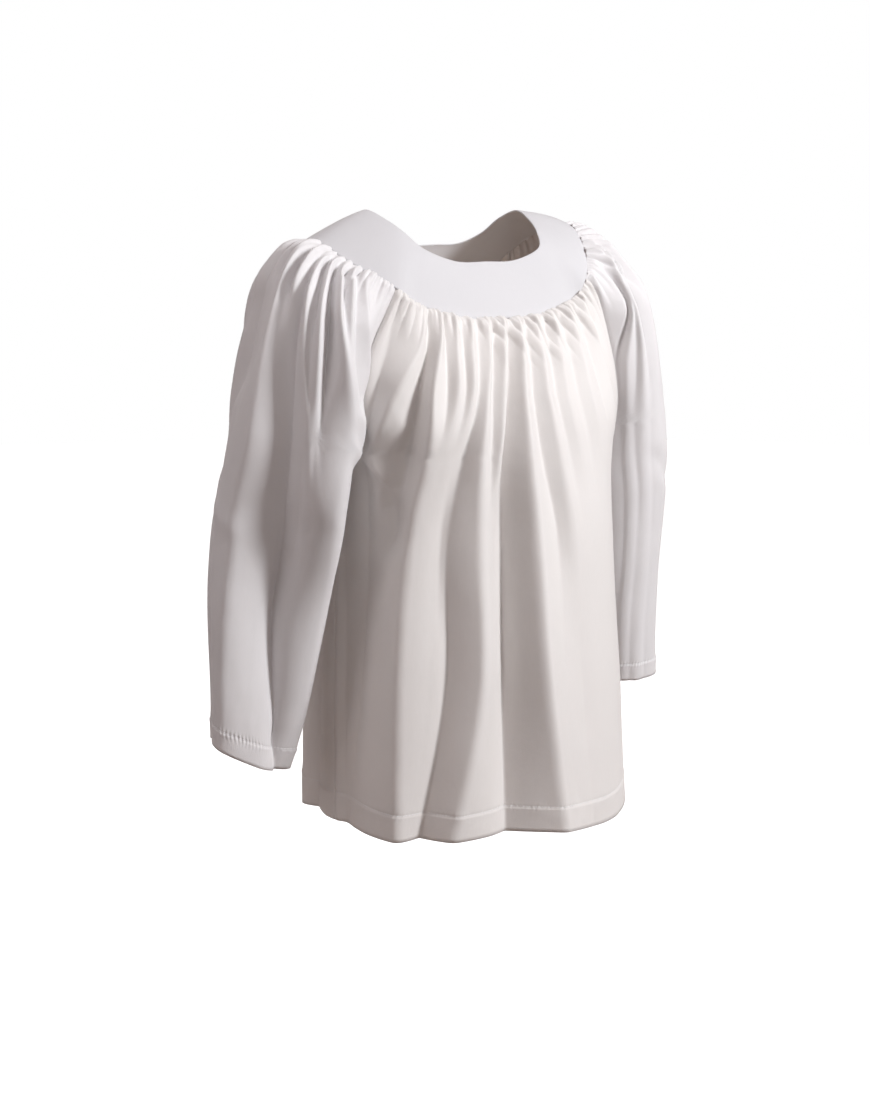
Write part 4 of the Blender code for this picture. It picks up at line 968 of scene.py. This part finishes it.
class SURPLICE_OT_yoke(bpy.types.Operator):
    """Makes the round yoke from the neck edge to the gathered seam"""

    bl_idname = "surplice.yoke"
    bl_label = "Yoke"

    def execute(self, context):
        settings = context.scene.surplice
        turn = np.linspace(-180.0, 180.0, LINE_POINTS)
        share = downs_from(YOKE_ROWS)
        grid = np.array([yoke_point(turn, np.full_like(turn, s)) for s in share])
        outward = np.array([yoke_normal(turn, np.full_like(turn, s)) for s in share])
        width = np.linalg.norm(grid[-1] - grid[0], axis=-1)
        from_neck = share[:, None] * width
        from_seam = (1.0 - share[:, None]) * width
        lines = np.broadcast_to(run_along(grid[MIDDLE_ROW])[None, :], from_neck.shape)
        fit = ease(np.minimum(turn + 180.0, 180.0 - turn) / SWELL_FADES)[None, :]
        relief = YOKE_SWELL * fit * ripple(lines / SWELL_ROUND, from_neck / SWELL_ACROSS, 2.0)
        relief += YOKE_RAISED
        relief -= NECK_ROLL * (1.0 - ease(from_neck / NECK_ROLL_WIDTH))
        relief -= EDGE_ROLL * (1.0 - ease(from_seam / EDGE_ROLL_WIDTH))
        points = grid + outward * relief[..., None]
        points[-1] += unit(grid[-1] - grid[-3]) * EDGE_REACH
        points[:, -1] = points[:, 0]
        places = np.stack([lines, from_neck], axis=-1)
        closed = np.ones(len(share), bool)
        cloth = settings.yoke
        piece = cloth_mesh("yoke_cloth_piece", sway(points), places, closed, cloth, 0, cloth, False)
        finish = poplin("yoke_poplin", settings.yoke_white, YOKE_DEEP)
        dress(piece, "yoke", finish)
        return {"FINISHED"}


# What differs between the body panels and the sleeves
# columns: rows, columns of the grid, hem, white, deeper white, flat sizes, area
PANELS = {
    "body": (BODY_ROWS, 320, "hem", "body_white", (0.77, 0.75, 0.735), (0.66, 0.64), 0.39),
    "sleeve": (SLEEVE_ROWS, 224, "cuff", "sleeve_white", (0.77, 0.76, 0.77), (0.46, 0.62), 0.24),
}


def panel_piece(settings, part, side, pleats, drags, kind):
    """One body panel or one sleeve as a dressed sheet."""
    steps, columns, hem, white, deep, cut, area = PANELS[part]
    downs = downs_from(steps)
    panel = f"{side}_sleeve" if part == "sleeve" else side
    points, places, closed = panel_grid(panel, pleats, drags, kind, downs, columns)
    if side == "right":
        points = points * MIRROR
    points = sway(points)
    keep_hem(f"{hem}_{side}_stitches", points, downs)
    piece = cloth_mesh(f"{part}_{side}_cloth", points, places, closed, settings.cloth, HEM_ROWS,
                       settings.hem, side in ("back", "right"))
    finish = poplin(f"{part}_{side}_poplin", getattr(settings, white), deep)
    dress(piece, f"{part}_{side}", finish)


class SURPLICE_OT_body(bpy.types.Operator):
    """Makes the front and back panels"""

    bl_idname = "surplice.body"
    bl_label = "Body panels"

    def execute(self, context):
        settings = context.scene.surplice
        panel_piece(settings, "body", "front", FRONT_PLEATS, FRONT_DRAGS, 1.0)
        panel_piece(settings, "body", "back", BACK_PLEATS, BACK_DRAGS, 2.0)
        return {"FINISHED"}


class SURPLICE_OT_sleeves(bpy.types.Operator):
    """Makes the two full sleeves"""

    bl_idname = "surplice.sleeves"
    bl_label = "Sleeves"

    def execute(self, context):
        settings = context.scene.surplice
        panel_piece(settings, "sleeve", "right", RIGHT_SLEEVE_PLEATS, RIGHT_SLEEVE_DRAGS, 3.0)
        panel_piece(settings, "sleeve", "left", LEFT_SLEEVE_PLEATS, LEFT_SLEEVE_DRAGS, 4.0)
        return {"FINISHED"}


def stitched_line(name, line, above):
    """Short stitches along a hem, each a tapered length of thread lying on the cloth."""
    run = run_along(line)
    count = int(run[-1] / STITCH_PITCH)
    middle = (np.arange(count) + 0.5) * run[-1] / count
    spot = read_line(line, run, middle)
    quarter = STITCH_PITCH / 4
    along = unit(read_line(line, run, middle + quarter) - read_line(line, run, middle - quarter))
    out = unit(np.cross(along, read_line(above, run, middle) - spot))
    out = out * np.sign(np.sum(out * (spot - spot.mean(axis=0))))
    across = np.cross(out, along)
    turn = np.arange(STITCH_SIDES) * 2 * math.pi / STITCH_SIDES
    corners = []
    for share, width in STITCH_SHAPE:
        centre = spot + along * share * STITCH_LENGTH / 2 + out * STITCH_RADIUS * STITCH_LIFT
        ring = out[:, None] * np.sin(turn)[:, None] + across[:, None] * np.cos(turn)[:, None]
        corners.append(centre[:, None] + ring * STITCH_RADIUS * width)
    corners = np.stack(corners, axis=1)
    rings = len(STITCH_SHAPE)
    last = (rings - 1) * STITCH_SIDES
    faces = [list(range(STITCH_SIDES))[::-1], list(range(last, last + STITCH_SIDES))]
    for ring in range(rings - 1):
        for side in range(STITCH_SIDES):
            low = ring * STITCH_SIDES
            ahead = (side + 1) % STITCH_SIDES
            faces.append([low + side, low + ahead, low + STITCH_SIDES + ahead, low + STITCH_SIDES + side])
    number = rings * STITCH_SIDES
    every = [[corner + stitch * number for corner in face] for stitch in range(count) for face in faces]
    mesh = bpy.data.meshes.new(name)
    mesh.from_pydata(corners.reshape(-1, 3).tolist(), [], every)
    shape = bmesh.new()
    shape.from_mesh(mesh)
    bmesh.ops.recalc_face_normals(shape, faces=shape.faces)
    shape.to_mesh(mesh)
    shape.free()
    mesh.shade_smooth()
    return add_object(name, mesh)


class SURPLICE_OT_stitching(bpy.types.Operator):
    """Sews the hems of the body and the cuffs"""

    bl_idname = "surplice.stitching"
    bl_label = "Hem stitching"

    def execute(self, context):
        thread = thread_finish()
        for name, (line, above) in SEWN.items():
            piece = stitched_line(name, line, above)
            piece.data.materials.append(thread)
            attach(piece, "root")
        return {"FINISHED"}


# Stage
FLOOR_CORNERS = 96
FLOOR_RADIUS = 9.0
FLOOR_AT = (0.0, 0.0, -1.35)
CAMERA_YAW = 0.69311
CAMERA_PITCH = 0.18448
CAMERA_PLACE = (-1.41413, -1.68530, -0.02)
CAMERA_LENS = 57.08
SENSOR_WIDTH = 36.0
GARMENT_MIDDLE = (0.0, -0.03, -0.36)
# columns: name, to the right, towards the camera, up, size, height, power, colour
LIGHTS = [
    ("key", 2.24, 0.96, 0.95, 0.45, 0.8, 75.0, (0.975, 0.985, 1.0)),
    ("front_fill", 0.8, 2.3, 0.4, 0.8, 1.2, 5.0, (1.0, 1.0, 1.0)),
    ("left_fill", -1.7, 1.0, 0.5, 0.9, 1.4, 7.5, (1.0, 0.96, 0.98)),
    ("back", -0.9, -1.9, 0.9, 1.2, 1.2, 9.0, (1.0, 0.985, 0.98)),
    ("top", -0.25, 0.55, 1.8, 1.0, 1.0, 11.0, (1.0, 0.99, 1.0)),
]
NECK_GLOW = ("neck_glow", 0.0, 0.0, -0.30, 0.14, 0.14, 0.12, (1.0, 0.84, 0.70))
GLOW_TILT = 155.0


def soft_light(name, right, towards, up, size, size_y, power, colour):
    """A soft lamp placed to the right of, towards and above the middle, seen from the camera."""
    cos = math.cos(CAMERA_YAW)
    sin = math.sin(CAMERA_YAW)
    spot = Vector((cos * right - sin * towards, -sin * right - cos * towards, up))
    aim = Vector(GARMENT_MIDDLE)
    bpy.ops.object.light_add(type="AREA", location=spot)
    lamp = bpy.context.object
    lamp.name = name
    lamp.rotation_euler = (aim - spot).to_track_quat("-Z", "Y").to_euler()
    lamp.data.shape = "RECTANGLE"
    lamp.data.size = size
    lamp.data.size_y = size_y
    lamp.data.energy = power
    lamp.data.color = colour
    return lamp


class SURPLICE_OT_stage(bpy.types.Operator):
    """Makes the floor, the soft lights and the camera"""

    bl_idname = "surplice.stage"
    bl_label = "Stage"

    def execute(self, context):
        settings = context.scene.surplice
        bpy.ops.mesh.primitive_circle_add(
            vertices=FLOOR_CORNERS, radius=FLOOR_RADIUS, fill_type="NGON", location=FLOOR_AT)
        floor = context.object
        floor.name = "studio_floor"
        floor.data.materials.append(pale("floor_paint", settings.floor_tone))
        floor.visible_diffuse = False
        for light in LIGHTS:
            soft_light(*light)
        glow = soft_light(*NECK_GLOW)
        glow.rotation_euler = (math.radians(GLOW_TILT), 0.0, 0.0)
        glow.visible_camera = False
        world = bpy.data.worlds.new("studio")
        world.use_nodes = True
        tree = world.node_tree
        around = feed(tree.nodes["Background"], {"Color": (1.0, 0.78, 0.72, 1.0), "Strength": 0.16})
        seen = new_node(tree, "Background", {"Color": (1.0, 1.0, 1.0, 1.0), "Strength": 1.0})
        ray = new_node(tree, "LightPath", {})
        choose = new_node(tree, "MixShader", {
            "Fac": ray["Is Camera Ray"], 1: around["Background"], 2: seen["Background"]})
        feed(tree.nodes["World Output"], {"Surface": choose["Shader"]})
        context.scene.world = world
        context.scene.view_settings.view_transform = "Standard"
        turned = (math.pi / 2 - CAMERA_PITCH, 0.0, -CAMERA_YAW)
        bpy.ops.object.camera_add(location=CAMERA_PLACE, rotation=turned)
        camera = context.object
        camera.name = "photo_camera"
        camera.data.lens = CAMERA_LENS
        camera.data.sensor_width = SENSOR_WIDTH
        context.scene.camera = camera
        return {"FINISHED"}


class SURPLICE_PT_panel(bpy.types.Panel):
    """Settings of the surplice and a button for each maker"""

    bl_label = "Surplice"
    bl_idname = "SURPLICE_PT_panel"
    bl_space_type = "VIEW_3D"
    bl_region_type = "UI"
    bl_category = "Surplice"

    def draw(self, context):
        settings = context.scene.surplice
        for name in settings.bl_rna.properties.keys():
            if name not in {"rna_type", "name"}:
                self.layout.prop(settings, name)
        for maker in MAKERS:
            self.layout.operator(maker.bl_idname)


MAKERS = (SURPLICE_OT_yoke, SURPLICE_OT_body, SURPLICE_OT_sleeves, SURPLICE_OT_stitching, SURPLICE_OT_stage)
CLASSES = (SurpliceSettings, *MAKERS, SURPLICE_PT_panel)


def register():
    for kind in CLASSES:
        bpy.utils.register_class(kind)
    bpy.types.Scene.surplice = PointerProperty(type=SurpliceSettings)


def unregister():
    del bpy.types.Scene.surplice
    for kind in reversed(CLASSES):
        bpy.utils.unregister_class(kind)


def main():
    register()
    bpy.ops.surplice.yoke()
    bpy.ops.surplice.body()
    bpy.ops.surplice.sleeves()
    bpy.ops.surplice.stitching()
    bpy.ops.surplice.stage()
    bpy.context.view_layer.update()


if __name__ == "__main__":
    main()
